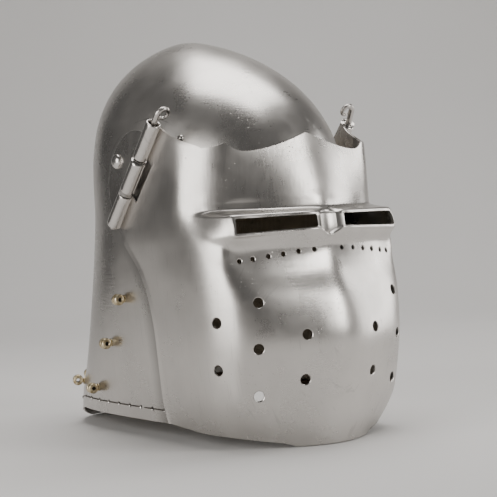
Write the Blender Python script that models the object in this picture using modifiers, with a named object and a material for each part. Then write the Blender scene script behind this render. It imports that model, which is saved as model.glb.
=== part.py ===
"""Visored knight's helmet: a bascinet skull with a lifting visor on two pin hinges.

Lengths are in millimetres in the helmet's face frame: x across, y backwards from
the sights, z up from the top of the sights. place() turns them into world metres,
with the ground under the helmet at z = 0. The wearer's right is at -x, and the
face looks along -y.
"""

import math

import bmesh
import bpy
import numpy as np
from mathutils import Matrix, Vector

MM = 0.001

# ---- the helmet as a whole -------------------------------------------------
SIGHT_HEIGHT = 184.0  # the top of the sights above the ground
MID_DEPTH = 144.35  # from the sights back to the middle of the whole helmet
SHEET = 1.6  # thickness of skull and visor
GAP = 0.4  # air between pieces that touch

# ---- the skull ---------------------------------------------------------------
SKULL_HALF_WIDTH = 97.0
SKULL_HALF_DEPTH = 130.5
SKULL_CENTRE_Y = 149.0
DOME_BASE_Z = 0.0
APEX_Z = 155.0
APEX_SHIFT = 35.5  # how far the apex lies behind the middle of the skull
DOME_FULLNESS = 3.0
DOME_POINT = 0.66
# heights below the dome, each with half width, front reach, back reach, and the squareness
# of the front half and of the back half
SKULL_STATIONS = (
    (-190.0, 86.0, 122.0, 156.5, 2.7, 3.5),
    (-168.0, 85.2, 122.0, 154.5, 2.7, 3.5),
    (-155.0, 86.6, 122.4, 151.0, 2.65, 3.45),
    (-140.0, 88.5, 123.2, 145.5, 2.58, 3.2),
    (-105.0, 92.0, 125.0, 138.5, 2.45, 2.75),
    (-36.0, 96.0, 128.5, 131.0, 2.15, 2.2),
    (0.0, 97.0, 130.5, 130.5, 2.0, 2.0),
)
RIM_FRONT_Z = -170.0
RIM_FRONT_Y = 258.0
RIM_BACK_Y = 298.0
RIM_DROP = 14.0
RIM_SPARE = 1.5  # extra sheet below the rim at the back, cut off flat
OPENING_SIDE_Y = 88.0
OPENING_BROW_Z = 42.0
OPENING_CORNER = 38.0

# ---- the visor -----------------------------------------------------------------
# distance from the keel along the visor to each line of its sections
VISOR_LINES = (0.0, 14.0, 37.0, 62.0, 80.0, 98.0, 128.0, 190.0)
# sections from the top to the bottom: height, then (x, y) on each of those lines
VISOR_SECTIONS = (
    (84, (0, 30), (14, 31.5), (36, 35.5), (60, 41), (73, 45), (84, 57), (95, 74), (99.3, 86)),
    (60, (0, 24), (14, 25.5), (36, 29.5), (60, 34.5), (72.5, 38.1), (86, 51), (96, 73), (99.6, 105)),
    (36, (0, 17), (14, 18.5), (36, 24), (60, 32.5), (75, 38.7), (88.5, 51.5), (99, 75), (100, 124)),
    (20, (0, 12.5), (14, 14.5), (36, 21), (60, 31), (76.5, 39.2), (89.5, 52), (100, 75), (100, 137)),
    (6, (0, 8.5), (14, 11), (36, 18.5), (60, 30.5), (78, 39.7), (90.5, 52.5), (101, 75), (100, 149)),
    (1, (0, 2.5), (14, 0), (36, 6.5), (60, 13.3), (84.5, 21), (92.5, 49.5), (101, 75), (100, 153)),
    (-13, (0, 0.5), (14, -2), (36, 3.3), (60, 9), (85.5, 16.5), (95, 38), (101.5, 70), (99.6, 153)),
    (-26, (0, 2.5), (14, 3.6), (36, 7.8), (60, 14), (80, 21), (90, 26), (101, 58), (98.6, 144)),
    (-36, (0, 1), (14, 3), (36, 7.3), (60, 13.5), (78, 19.8), (90, 24.5), (101, 58), (97.6, 134)),
    (-67, (0, -13), (14, -10.5), (36, -5), (60, 1.5), (75, 7), (88, 17), (99.5, 50), (95.6, 120.5)),
    (-100, (0, -18.5), (14, -16.2), (36, -9.8), (60, -1.5), (74, 4.7), (87, 15.5), (98, 48), (93.5, 116)),
    (-129, (0, -12.5), (14, -10.5), (36, -4), (60, 5), (73, 10.5), (85, 17.5), (95, 48), (90.4, 117)),
    (-150, (0, -8), (14, -6.5), (36, 0), (60, 8), (72, 13), (83, 20), (92, 52), (88.6, 117)),
    (-170, (0, -5.5), (14, -4), (36, 3.5), (59, 13), (69, 20), (78, 31), (88, 65), (87.4, 111)),
    (-188, (0, -3.5), (14, -1), (36, 9.5), (56, 25), (66, 38), (73, 52), (81, 80), (86, 107)),
)
VISOR_SPREAD = (0, 7, 14, 25, 37, 50, 62, 71, 80, 89, 98, 112, 128, 148, 169, 190)
VISOR_MID_ROWS = (44, 26, 6, 1, -13, -26, -36, -51, -67, -83, -100, -115, -129, -150)
PEAK_Z = 67.0
VALLEY_Z = 53.0
VALLEY_LINE = 58.0  # lowest point of the brow edge, along the visor from the keel
CUSP_Z = 60.0
SIDE_VALLEY_Z = 56.5
SIDE_VALLEY_LINE = 99.0
HINGE_TOP_Z = 78.0
CHIN_Z = -186.0
VISOR_REAR_Z = -169.0
SIGHT_INNER = ((13.9, 0.0), (13.5, -10.0))  # x and z of each sight's nose end, top and bottom
SIGHT_OUTER = ((81.6, -0.7), (82.4, -12.5))  # x and z of its outer end
SMALL_HOLE_RADIUS = 1.9
SMALL_HOLES = ((14.5, -27.9), (28.7, -28.7), (42.0, -30.1), (54.6, -31.3), (67.4, -32.8), (77.9, -33.9))
BREATH_RADIUS = 4.2
# distance along the visor from the keel, and height, of the breaths on one cheek
BREATHS = ((36.9, -93.9), (36.6, -128.7), (75.5, -66.8), (79.5, -102.7), (77.5, -140.2), (112.5, -81.0), (115.0, -118.5))

# ---- the hinges ------------------------------------------------------------------
HINGE_X = 104.5
HINGE_BOTTOM = (156.0, -3.0)  # y and z of the lower end of the hinge line
HINGE_TOP = (90.0, 78.0)
KNUCKLE_RADIUS = 6.2
KNUCKLE_BORE = 4.4
KNUCKLE_SIDES = 18
KNUCKLE_SPLITS = (0.0, 0.305, 0.665, 1.0)  # from the bottom, as shares of the hinge line
PLATE_X = 98.0  # inner face of the hinge plate
PLATE_THICK = 1.8
PLATE_CENTRE = 45.0  # along the hinge line
PLATE_RADIUS = 42.0
PLATE_INSET = 7.2  # straight edge of the plate behind the hinge line
NOTCH_FRONT = 11.5  # front edge of the notch in the visor at the middle knuckle
PIN_RADIUS = 2.5
PIN_STEMS = {"right": 116.0, "left": 121.0}  # from each pin's lower end to the start of its scroll
PIN_LEANS = {"right": 0.0, "left": 0.3}  # how far each stem leans inwards above its hinge
PIN_DROP = 3.0
SCROLL_RADIUS = 5.6
SCROLL_TURNS = 0.82
SCROLL_CLOSE = 0.34  # how much the scroll tightens towards its tip
SCROLL_TIP = 0.45  # thickness of the wire at its tip, as a share of the pin's
PIVOT_ALONG = 41.7
PIVOT_BEHIND = 32.7
PIVOT_SHANK = 3.0
WASHER_RADIUS = 7.0
FACET_SPARE = 0.4  # how far the skull's flat facets can lie inside its true curve

# ---- small fittings ---------------------------------------------------------------
STUD = (90.5, 65.5)  # y and z of the lining rivet above the visor
VERVELLES = ((160.5, -66.0), (189.0, -105.0), (223.0, -147.0), (267.0, -146.0), (291.0, -146.0))
BEAD_RADIUS = 4.7
BEAD_BORE = 1.7
BEAD_HALF_LENGTH = 3.9
BEAD_STAND = 6.4
STITCH_UP = 11.5  # the row of stitch holes above the rim
STITCH_PITCH = 17.5
STITCH_HOLE = 1.4
THREAD_RADIUS = 0.55

# ---- lining --------------------------------------------------------------------------
LINING_DEPTH = 6.8  # from the skull's outer face to the lining
LINING_THICK = 7.0
LINING_UP = 17.0  # from the rim up to the lower edge of the lining
STRIP_DEPTH = 2.8
STRIP_THICK = 1.6
STRIP_TALL = 20.0

STEEL = ((0.62, 0.60, 0.58), 0.28, 1.0)
PIN_STEEL = ((0.56, 0.54, 0.51), 0.35, 1.0)
BRASS = ((0.78, 0.62, 0.34), 0.35, 1.0)
LINEN = ((0.55, 0.48, 0.37), 0.9, 0.0)
LEATHER = ((0.16, 0.10, 0.06), 0.7, 0.0)
THREAD = ((0.05, 0.045, 0.04), 0.8, 0.0)


def place(x, y, z):
    """World position in metres of a point of the face frame."""
    return Vector((x, y - MID_DEPTH, z + SIGHT_HEIGHT)) * MM


def glide(knots, values, t):
    """Smooth curve through values at the knots that never overshoots between them."""
    knots = np.asarray(knots, float)
    values = np.asarray(values, float)
    steps = np.diff(knots)
    rises = (np.diff(values, axis=0).T / steps).T
    slopes = np.zeros_like(values)
    slopes[0] = rises[0]
    slopes[-1] = rises[-1]
    before, after = rises[:-1], rises[1:]
    turning = before * after <= 0.0
    blended = 2.0 * before * after / np.where(turning, 1.0, before + after)
    slopes[1:-1] = np.where(turning, 0.0, blended)
    i = int(np.clip(np.searchsorted(knots, t) - 1, 0, len(steps) - 1))
    step = steps[i]
    s = (t - knots[i]) / step
    start = (1 + 2 * s) * (1 - s) ** 2 * values[i] + s * (1 - s) ** 2 * step * slopes[i]
    end = s * s * (3 - 2 * s) * values[i + 1] + s * s * (s - 1) * step * slopes[i + 1]
    return start + end


# ---- surfaces -----------------------------------------------------------------------
def skull_section(z):
    """Half width, front reach, back reach, centre y and both squarenesses of the skull at z."""
    if z >= DOME_BASE_Z:
        h = min((z - DOME_BASE_Z) / (APEX_Z - DOME_BASE_Z), 1.0)
        size = (1.0 - h**DOME_FULLNESS) ** DOME_POINT
        centre = SKULL_CENTRE_Y + APEX_SHIFT * h * h
        return SKULL_HALF_WIDTH * size, SKULL_HALF_DEPTH * size, SKULL_HALF_DEPTH * size, centre, 2.0, 2.0
    heights = [station[0] for station in SKULL_STATIONS]
    shape = glide(heights, [station[1:] for station in SKULL_STATIONS], z)
    return shape[0], shape[1], shape[2], SKULL_CENTRE_Y, shape[3], shape[4]


def skull_outer(angle, z):
    """Outer face of the skull; the angle runs from the face (0) round to the back (pi)."""
    half_width, front, back, centre, front_square, back_square = skull_section(z)
    across, along = math.sin(angle), math.cos(angle)
    reach, square = (front, front_square) if along > 0 else (back, back_square)
    x = half_width * math.copysign(abs(across) ** (2 / square), across)
    y = centre - reach * math.copysign(abs(along) ** (2 / square), along)
    return np.array((x, y, z))


def normal_of(surface, u, v, du, dv):
    """Outward unit normal of a surface function at (u, v)."""
    along = surface(u + du, v) - surface(u - du, v)
    up = surface(u, v + dv) - surface(u, v - dv)
    normal = np.cross(along, up)
    return normal / np.linalg.norm(normal)


def skull_point(angle, z, depth=0.0):
    """Point of the skull at a depth under its outer face."""
    point = skull_outer(angle, z)
    if depth:
        low = min(z, APEX_Z - 2.0)
        point = point - depth * normal_of(skull_outer, angle, low, 0.01, 1.0)
    return point


def rim_z(y):
    """Height of the skull's lower rim, which droops towards the nape."""
    share = min(max((y - RIM_FRONT_Y) / (RIM_BACK_Y - RIM_FRONT_Y), 0.0), 1.0)
    return RIM_FRONT_Z - RIM_DROP * share * share


def visor_outer(line, z):
    """Outer face of the visor at a distance along it from the keel."""
    heights = [-section[0] for section in VISOR_SECTIONS]
    plan = glide(heights, [section[1:] for section in VISOR_SECTIONS], -z)
    mirrored = np.concatenate((plan[:0:-1] * (-1.0, 1.0), plan))
    lines = np.array(VISOR_LINES)
    x, y = glide(np.concatenate((-lines[:0:-1], lines)), mirrored, line)
    return np.array((x, y, z))


def brow_z(line):
    """Height of the visor's scalloped upper edge."""
    line = abs(line)
    if line <= VALLEY_LINE:
        return VALLEY_Z + (PEAK_Z - VALLEY_Z) * (1 - line / VALLEY_LINE) ** 1.6
    cusp = VISOR_LINES[4]
    if line <= cusp:
        share = (line - VALLEY_LINE) / (cusp - VALLEY_LINE)
        return VALLEY_Z + (CUSP_Z - VALLEY_Z) * share**2.2
    if line <= SIDE_VALLEY_LINE:
        share = (SIDE_VALLEY_LINE - line) / (SIDE_VALLEY_LINE - cusp)
        return SIDE_VALLEY_Z + (CUSP_Z - SIDE_VALLEY_Z) * share**2.2
    share = (line - SIDE_VALLEY_LINE) / (VISOR_LINES[-1] - SIDE_VALLEY_LINE)
    return SIDE_VALLEY_Z + (HINGE_TOP_Z - SIDE_VALLEY_Z) * share**0.8


def chin_z(line):
    """Height of the visor's lower edge."""
    share = max(abs(line) - 40.0, 0.0) / (VISOR_LINES[-1] - 40.0)
    return CHIN_Z + (VISOR_REAR_Z - CHIN_Z) * share**0.55


def visor_normal(line, z):
    return -normal_of(visor_outer, line, z, 1.0, -1.0)


# ---- scene helpers ----------------------------------------------------------------------
def clear_scene():
    for old in list(bpy.data.objects):
        bpy.data.objects.remove(old, do_unlink=True)


def collection(name):
    new = bpy.data.collections.new(name)
    bpy.context.scene.collection.children.link(new)
    return new


def material(name, look):
    colour, roughness, metallic = look
    new = bpy.data.materials.new(name)
    new.use_nodes = True
    shader = new.node_tree.nodes["Principled BSDF"]
    shader.inputs["Base Color"].default_value = (*colour, 1.0)
    shader.inputs["Roughness"].default_value = roughness
    shader.inputs["Metallic"].default_value = metallic
    return new


def add_object(name, data, group, look=None):
    obj = bpy.data.objects.new(name, data)
    group.objects.link(obj)
    if look:
        data.materials.append(material(name, look))
    return obj


def add_mesh(name, bm, group, look=None, smooth_angle=35.0):
    mesh = bpy.data.meshes.new(name)
    bm.to_mesh(mesh)
    bm.free()
    mesh.shade_smooth()
    mesh.set_sharp_from_angle(angle=math.radians(smooth_angle))
    return add_object(name, mesh, group, look)


def hide_cutter(obj):
    obj.hide_render = True
    obj.display_type = "WIRE"


def boolean(obj, operand, operation):
    modifier = obj.modifiers.new(operation.title(), "BOOLEAN")
    modifier.operation = operation
    modifier.object = operand
    modifier.solver = "EXACT"
    return modifier


def grid(rows):
    """Open surface through rows of points of equal length."""
    bm = bmesh.new()
    verts = [[bm.verts.new(place(*point)) for point in row] for row in rows]
    for upper, lower in zip(verts, verts[1:]):
        for i in range(len(upper) - 1):
            bm.faces.new((upper[i], lower[i], lower[i + 1], upper[i + 1]))
    return bm


def solidify(obj, thickness, offset=-1.0):
    modifier = obj.modifiers.new("Sheet", "SOLIDIFY")
    modifier.thickness = thickness * MM
    modifier.offset = offset
    modifier.use_even_offset = True


def frame_at(origin, axis, side=(0.0, 0.0, 1.0)):
    """World matrix whose z axis is the given direction, at a point of the face frame."""
    z_axis = Vector(axis).normalized()
    x_axis = Vector(side).cross(z_axis)
    if x_axis.length < 0.01:
        x_axis = Vector((1.0, 0.0, 0.0)).cross(z_axis)
    x_axis.normalize()
    y_axis = z_axis.cross(x_axis)
    turn = Matrix((x_axis, y_axis, z_axis)).transposed().to_4x4()
    return Matrix.Translation(place(*origin)) @ turn


def cylinder(bm, matrix, radius, low, high, sides):
    """Adds a closed cylinder along the matrix's z axis."""
    middle = Matrix.Translation((0, 0, (low + high) / 2 * MM))
    bmesh.ops.create_cone(
        bm,
        cap_ends=True,
        segments=sides,
        radius1=radius * MM,
        radius2=radius * MM,
        depth=(high - low) * MM,
        matrix=matrix @ middle,
    )


def turned(name, profile, matrix, group, look, sides=16, ring=False):
    """A turned piece: (radius, height) points running down its outer side."""
    mesh = bpy.data.meshes.new(name)
    points = [(radius * MM, 0.0, height * MM) for radius, height in profile]
    edges = [(i, i + 1) for i in range(len(points) - 1)]
    if ring:
        edges.append((len(points) - 1, 0))
    mesh.from_pydata(points, edges, [])
    obj = add_object(name, mesh, group, look)
    screw = obj.modifiers.new("Turn", "SCREW")
    screw.steps = sides
    screw.render_steps = sides
    screw.use_merge_vertices = True
    screw.merge_threshold = 0.00001
    screw.use_smooth_shade = True
    obj.matrix_world = matrix
    return obj


def wire(name, points, radius, group, look, resolution=2, taper=None):
    """A round wire or thread through points of the face frame; taper scales it at each point."""
    curve = bpy.data.curves.new(name, "CURVE")
    curve.dimensions = "3D"
    curve.bevel_depth = radius * MM
    curve.bevel_resolution = resolution
    curve.use_fill_caps = True
    spline = curve.splines.new("POLY")
    spline.points.add(len(points) - 1)
    for target, point, share in zip(spline.points, points, taper or [1.0] * len(points)):
        target.co = (*place(*point), 1.0)
        target.radius = share
    return add_object(name, curve, group, look)


# ---- hinge geometry ------------------------------------------------------------------------
HINGE_SPAN = math.dist(HINGE_BOTTOM, HINGE_TOP)
HINGE_UP = ((HINGE_TOP[0] - HINGE_BOTTOM[0]) / HINGE_SPAN, (HINGE_TOP[1] - HINGE_BOTTOM[1]) / HINGE_SPAN)
HINGE_BACK = (HINGE_UP[1], -HINGE_UP[0])


def on_hinge(side, along, behind=0.0, x=HINGE_X):
    """Point beside the hinge line of one side (-1 right, 1 left) of the helmet."""
    y = HINGE_BOTTOM[0] + HINGE_UP[0] * along + HINGE_BACK[0] * behind
    z = HINGE_BOTTOM[1] + HINGE_UP[1] * along + HINGE_BACK[1] * behind
    return (side * x, y, z)


def hinge_matrix(side, along=0.0):
    return frame_at(on_hinge(side, along), (0.0, *HINGE_UP), side=(1.0, 0.0, 0.0))


def knuckle_range(index):
    return KNUCKLE_SPLITS[index] * HINGE_SPAN, KNUCKLE_SPLITS[index + 1] * HINGE_SPAN


# ---- pieces ----------------------------------------------------------------------------------
def opening_cutter(cutters, grow=0.0):
    """Prism across the helmet that opens the skull for the face."""
    side, brow = OPENING_SIDE_Y + grow, OPENING_BROW_Z + grow
    outline = [(-120.0, -260.0), (side, -260.0)]
    for step in range(9):
        turn = math.radians(90.0 * step / 8)
        y = side - OPENING_CORNER * (1 - math.cos(turn))
        z = brow - OPENING_CORNER * (1 - math.sin(turn))
        outline.append((y, z))
    outline.append((-120.0, brow))
    bm = bmesh.new()
    ends = [[bm.verts.new(place(x, y, z)) for y, z in outline] for x in (-150.0, 150.0)]
    bm.faces.new(ends[0])
    bm.faces.new(ends[1][::-1])
    count = len(outline)
    for i in range(count):
        after = (i + 1) % count
        bm.faces.new((ends[0][i], ends[1][i], ends[1][after], ends[0][after]))
    bmesh.ops.recalc_face_normals(bm, faces=bm.faces)
    cutter = add_mesh("face_opening_cutter", bm, cutters)
    hide_cutter(cutter)
    return cutter


def ground_cutter(cutters):
    """Block below the ground plane, which trims the lower edges flat."""
    bm = bmesh.new()
    bmesh.ops.create_cube(bm, size=0.6, matrix=Matrix.Translation((0.0, 0.0, -0.3)))
    cutter = add_mesh("ground_cutter", bm, cutters)
    hide_cutter(cutter)
    return cutter


SKULL_SIDES = 40
LINING_SIDES = 24
SKULL_ROWS = (-135.0, -105.0, -70.0, -36.0, 0.0, 32.0, 60.0, 84.0, 105.0, 123.0, 137.0, 147.0)


def skull_shell(depth, bottom, sides):
    """Open surface of the skull at a depth, closed over the crown, down to bottom(y)."""
    bm = bmesh.new()
    angles = [2 * math.pi * i / sides for i in range(sides)]
    rings = []
    low_rings = []
    for share in (0.0, 0.28, 0.54, 0.78):
        ring = []
        for angle in angles:
            y = skull_outer(angle, SKULL_STATIONS[0][0])[1]
            z = bottom(y) * (1 - share) + SKULL_ROWS[0] * share
            ring.append((angle, z))
        low_rings.append(ring)
    for ring in low_rings + [[(angle, z) for angle in angles] for z in SKULL_ROWS]:
        rings.append([bm.verts.new(place(*skull_point(angle, z, depth))) for angle, z in ring])
    apex = skull_outer(0.0, APEX_Z)
    crown = bm.verts.new(place(apex[0], apex[1], apex[2] - depth))
    for lower, upper in zip(rings, rings[1:]):
        for i in range(sides):
            after = (i + 1) % sides
            bm.faces.new((lower[i], lower[after], upper[after], upper[i]))
    for i in range(sides):
        bm.faces.new((rings[-1][i], rings[-1][(i + 1) % sides], crown))
    bmesh.ops.recalc_face_normals(bm, faces=bm.faces)
    return bm


def skull_bottom(y):
    share = min(max((y - RIM_FRONT_Y) / (RIM_BACK_Y - RIM_FRONT_Y), 0.0), 1.0)
    return rim_z(y) - RIM_SPARE * share * share


def rim_walk(spacing, margin):
    """Angles of evenly spaced points along the rim, from one side of the face to the other."""
    angles = np.linspace(0.2, 2 * math.pi - 0.2, 1200)
    points = np.array([skull_outer(a, -165.0) for a in angles])
    keep = points[:, 1] > OPENING_SIDE_Y + margin
    angles, points = angles[keep], points[keep]
    travelled = np.concatenate(((0.0,), np.cumsum(np.linalg.norm(np.diff(points, axis=0), axis=1))))
    count = int(round(travelled[-1] / spacing)) + 1
    return np.interp(np.linspace(0.0, travelled[-1], count), travelled, angles)


def stitch_places(margin=14.0):
    """Angle and height of each stitch hole above the rim."""
    places = []
    for angle in rim_walk(STITCH_PITCH, margin):
        y = skull_outer(angle, -165.0)[1]
        places.append((angle, rim_z(y) + STITCH_UP))
    return places


def angle_at(side, y, z):
    """Angle of the point of the skull at (y, z) on one side."""
    trial = np.linspace(0.0, math.pi, 721)
    reach = np.array([skull_outer(a, z)[1] for a in trial])
    return side * float(np.interp(y, reach, trial))


def stand_frame(angle, z):
    """Frame standing on the skull's outer face, its z axis pointing out."""
    return frame_at(skull_outer(angle, z), normal_of(skull_outer, angle, z, 0.01, 1.0))


def skull_frame(side, y, z):
    return stand_frame(angle_at(side, y, z), z)


def vervelle_places():
    """Name, angle and height of each vervelle, round the nape."""
    row = [(angle_at(-1, y, z), z) for y, z in VERVELLES]
    row.append((-math.pi, VERVELLES[-1][1]))
    row += [(-2 * math.pi - angle, z) for angle, z in row[-2::-1]]
    count = len(VERVELLES)
    names = [f"vervelle_right_{i + 1}" for i in range(count)] + ["vervelle_nape"]
    names += [f"vervelle_left_{count - i}" for i in range(count)]
    return [(name, *spot) for name, spot in zip(names, row)]


def pivot_frame(side):
    return frame_at(on_hinge(side, PIVOT_ALONG, PIVOT_BEHIND, x=PLATE_X), (side, 0.0, 0.0))


def make_skull(parts, cutters):
    skull = add_mesh("skull", skull_shell(0.0, skull_bottom, SKULL_SIDES), parts, STEEL)
    solidify(skull, SHEET)
    boolean(skull, opening_cutter(cutters), "DIFFERENCE")
    boolean(skull, ground_cutter(cutters), "DIFFERENCE")
    bm = bmesh.new()
    for angle, z in stitch_places():
        frame = frame_at(skull_outer(angle, z), normal_of(skull_outer, angle, z, 0.01, 1.0))
        cylinder(bm, frame, STITCH_HOLE, -6.0, 6.0, 6)
    for _, angle, z in vervelle_places():
        cylinder(bm, stand_frame(angle, z), 2.0, -6.0, 6.0, 8)
    for side in (-1, 1):
        cylinder(bm, skull_frame(side, *STUD), 2.0, -6.0, 6.0, 12)
        cylinder(bm, pivot_frame(side), PIVOT_SHANK + GAP, -9.0, 4.0, 12)
    holes = add_mesh("skull_hole_cutter", bm, cutters)
    hide_cutter(holes)
    boolean(skull, holes, "DIFFERENCE")


def visor_rows():
    rows = []
    for line_row in range(2):
        rows.append([(line, brow_z(line) if line_row == 0 else (brow_z(line) + 44.0) / 2) for line in full_spread()])
    for z in VISOR_MID_ROWS:
        rows.append([(line, z) for line in full_spread()])
    for share in (0.5, 1.0):
        low = VISOR_MID_ROWS[-1]
        rows.append([(line, low + (chin_z(line) - low) * share) for line in full_spread()])
    return [[visor_outer(line, z) for line, z in row] for row in rows]


def full_spread():
    return [-line for line in VISOR_SPREAD[:0:-1]] + list(VISOR_SPREAD)


def sight_block(bm, side):
    """Adds the block that cuts one sight through the visor."""
    corners = []
    for end in (SIGHT_INNER, SIGHT_OUTER):
        for x, z in end:
            corners.append((x, z))
    made = bmesh.ops.create_cube(bm, size=2.0)["verts"]
    for vert in made:
        inner = vert.co.x < 0
        top = vert.co.z > 0
        x, z = corners[(0 if inner else 2) + (0 if top else 1)]
        front = vert.co.y < 0
        lean = 0.3 * x
        y = lean + (-20.0 if front else 12.0)
        shift = 5.0 if front else -3.0
        vert.co = place(side * (x + (shift if x > 40 else shift * 0.6)), y, z)
    if side < 0:
        faces = {face for vert in made for face in vert.link_faces}
        bmesh.ops.reverse_faces(bm, faces=list(faces))


def make_visor(parts, cutters):
    visor = add_mesh("visor", grid(visor_rows()), parts, STEEL)
    solidify(visor, SHEET)
    boolean(visor, ground_cutter(cutters), "DIFFERENCE")
    notch = bmesh.new()
    for side in (-1, 1):
        low, high = knuckle_range(1)
        middle = hinge_matrix(side, (low + high) / 2)
        middle @= Matrix.Translation(((NOTCH_FRONT - PLATE_INSET) / 2 * MM, 0.0, 0.0))
        size = (PLATE_INSET + NOTCH_FRONT, 34.0, high - low + 2 * GAP)
        size = Matrix.Diagonal((*(length * MM for length in size), 1.0))
        bmesh.ops.create_cube(notch, size=1.0, matrix=middle @ size)
    notch_cutter = add_mesh("visor_notch_cutter", notch, cutters)
    hide_cutter(notch_cutter)
    boolean(visor, notch_cutter, "DIFFERENCE")
    tubes = bmesh.new()
    for side in (-1, 1):
        for index in (0, 2):
            low, high = knuckle_range(index)
            cylinder(tubes, hinge_matrix(side), KNUCKLE_RADIUS, low, high, KNUCKLE_SIDES)
    knuckles = add_mesh("visor_knuckles", tubes, cutters)
    hide_cutter(knuckles)
    boolean(visor, knuckles, "UNION")
    bm = bmesh.new()
    for side in (-1, 1):
        cylinder(bm, hinge_matrix(side), KNUCKLE_BORE, -10.0, HINGE_SPAN + 10.0, 16)
        sight_block(bm, side)
        for x, z in SMALL_HOLES:
            line = line_at(x, z)
            cylinder(bm, visor_frame(side * line, z), SMALL_HOLE_RADIUS, -6.0, 6.0, 8)
        for line, z in BREATHS:
            cylinder(bm, visor_frame(side * line, z), BREATH_RADIUS, -6.0, 6.0, 12)
    holes = add_mesh("visor_hole_cutter", bm, cutters)
    hide_cutter(holes)
    boolean(visor, holes, "DIFFERENCE")


def line_at(x, z):
    """Distance along the visor at which its section at z reaches x."""
    trial = np.linspace(0.0, VISOR_LINES[5], 200)
    across = np.array([visor_outer(line, z)[0] for line in trial])
    return float(np.interp(x, across, trial))


def visor_frame(line, z):
    return frame_at(visor_outer(line, z), visor_normal(line, z))


def make_hinge_plate(side, word, parts, cutters):
    """D-shaped plate on the skull with the middle knuckle rolled from it."""
    low, high = knuckle_range(1)
    low, high = low + GAP, high - GAP
    outline = [(low + GAP, 0.0), (low + GAP, PLATE_INSET)]
    edge = math.asin(PLATE_INSET / PLATE_RADIUS)
    for step in range(19):
        turn = edge + (math.pi - 2 * edge) * step / 18
        outline.append((PLATE_CENTRE - PLATE_RADIUS * math.cos(turn), PLATE_RADIUS * math.sin(turn)))
    outline += [(high - GAP, PLATE_INSET), (high - GAP, 0.0)]
    bm = bmesh.new()
    faces = []
    for x in (PLATE_X, PLATE_X + PLATE_THICK):
        faces.append([bm.verts.new(place(*on_hinge(side, along, behind, x))) for along, behind in outline])
    bm.faces.new(faces[0])
    bm.faces.new(faces[1][::-1])
    count = len(outline)
    for i in range(count):
        after = (i + 1) % count
        bm.faces.new((faces[0][i], faces[1][i], faces[1][after], faces[0][after]))
    bmesh.ops.recalc_face_normals(bm, faces=bm.faces)
    plate = add_mesh(f"hinge_plate_{word}", bm, parts, STEEL)
    tube = bmesh.new()
    cylinder(tube, hinge_matrix(side), KNUCKLE_RADIUS, low, high, KNUCKLE_SIDES)
    knuckle = add_mesh(f"plate_knuckle_{word}", tube, cutters)
    hide_cutter(knuckle)
    boolean(plate, knuckle, "UNION")
    holes = bmesh.new()
    cylinder(holes, hinge_matrix(side), KNUCKLE_BORE, 0.0, HINGE_SPAN, 16)
    cylinder(holes, pivot_frame(side), PIVOT_SHANK + GAP, -4.0, 6.0, 12)
    hole_cutter = add_mesh(f"plate_hole_cutter_{word}", holes, cutters)
    hide_cutter(hole_cutter)
    boolean(plate, hole_cutter, "DIFFERENCE")


def make_hinge_pin(side, word, parts):
    """Round pin with a scrolled head, dropped into the hinge from above."""
    stem, lean = PIN_STEMS[word], PIN_LEANS[word]
    points = [on_hinge(side, along) for along in np.linspace(-PIN_DROP, HINGE_SPAN, 6)]
    up = np.array((-side * lean, *HINGE_UP)) / math.hypot(1.0, lean)
    inboard = np.array((-side, -lean * HINGE_UP[0], -lean * HINGE_UP[1])) / math.hypot(1.0, lean)
    start = np.array(points[-1]) + (stem - PIN_DROP - HINGE_SPAN) * up
    points.append(tuple(start))
    centre = start + inboard * SCROLL_RADIUS
    taper = [1.0] * len(points)
    steps = 16
    for step in range(1, steps + 1):
        share = step / steps
        turn = 2 * math.pi * SCROLL_TURNS * share
        radius = SCROLL_RADIUS * (1 - SCROLL_CLOSE * share)
        point = centre - inboard * radius * math.cos(turn) + up * radius * math.sin(turn)
        points.append(tuple(point))
        taper.append(1 - (1 - SCROLL_TIP) * share)
    wire(f"hinge_pin_{word}", points, PIN_RADIUS, parts, PIN_STEEL, taper=taper)


def rivet_profile(head_radius, head_height, shank, length, peen):
    """Dome head on a shank with a peened tail; heights are from the seat of the head."""
    dome = []
    for step in range(5):
        turn = math.radians(90.0 * step / 4)
        dome.append((head_radius * math.sin(turn), head_height * math.cos(turn)))
    tail = [(shank, 0.0), (shank, -length), (peen, -length), (peen * 0.7, -length - 0.8), (0.0, -length - 1.1)]
    return dome + tail


def make_pivots(parts):
    for side, word in ((-1, "right"), (1, "left")):
        seat = PLATE_THICK + GAP
        frame = pivot_frame(side) @ Matrix.Translation((0, 0, seat * MM))
        inner = skull_inner_x() - PLATE_X
        washer_top = inner - GAP
        washer_low = washer_top - 1.0
        length = seat - (washer_low - GAP)
        turned(f"pivot_rivet_{word}", rivet_profile(6.3, 4.2, PIVOT_SHANK, length, 5.0), frame, parts, STEEL)
        wide = WASHER_RADIUS
        section = [(3.5, washer_top), (wide, washer_top), (wide, washer_low), (3.5, washer_low)]
        turned(f"pivot_washer_{word}", section, pivot_frame(side), parts, STEEL, ring=True)


def skull_inner_x():
    """How far out the inside of the skull lies all round the pivot washers."""
    _, y, z = on_hinge(1, PIVOT_ALONG, PIVOT_BEHIND)
    high = z + WASHER_RADIUS
    reach = [skull_point(angle_at(1, y + step, high), high, SHEET)[0] for step in (-WASHER_RADIUS, WASHER_RADIUS)]
    return min(reach) - FACET_SPARE


def make_studs(parts):
    for side, word in ((-1, "right"), (1, "left")):
        frame = skull_frame(side, *STUD) @ Matrix.Translation((0, 0, GAP * MM))
        profile = rivet_profile(2.9, 1.9, 1.5, SHEET + 4.0 * GAP, 2.4)
        turned(f"lining_rivet_{word}", profile, frame, parts, STEEL, sides=10)


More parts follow.
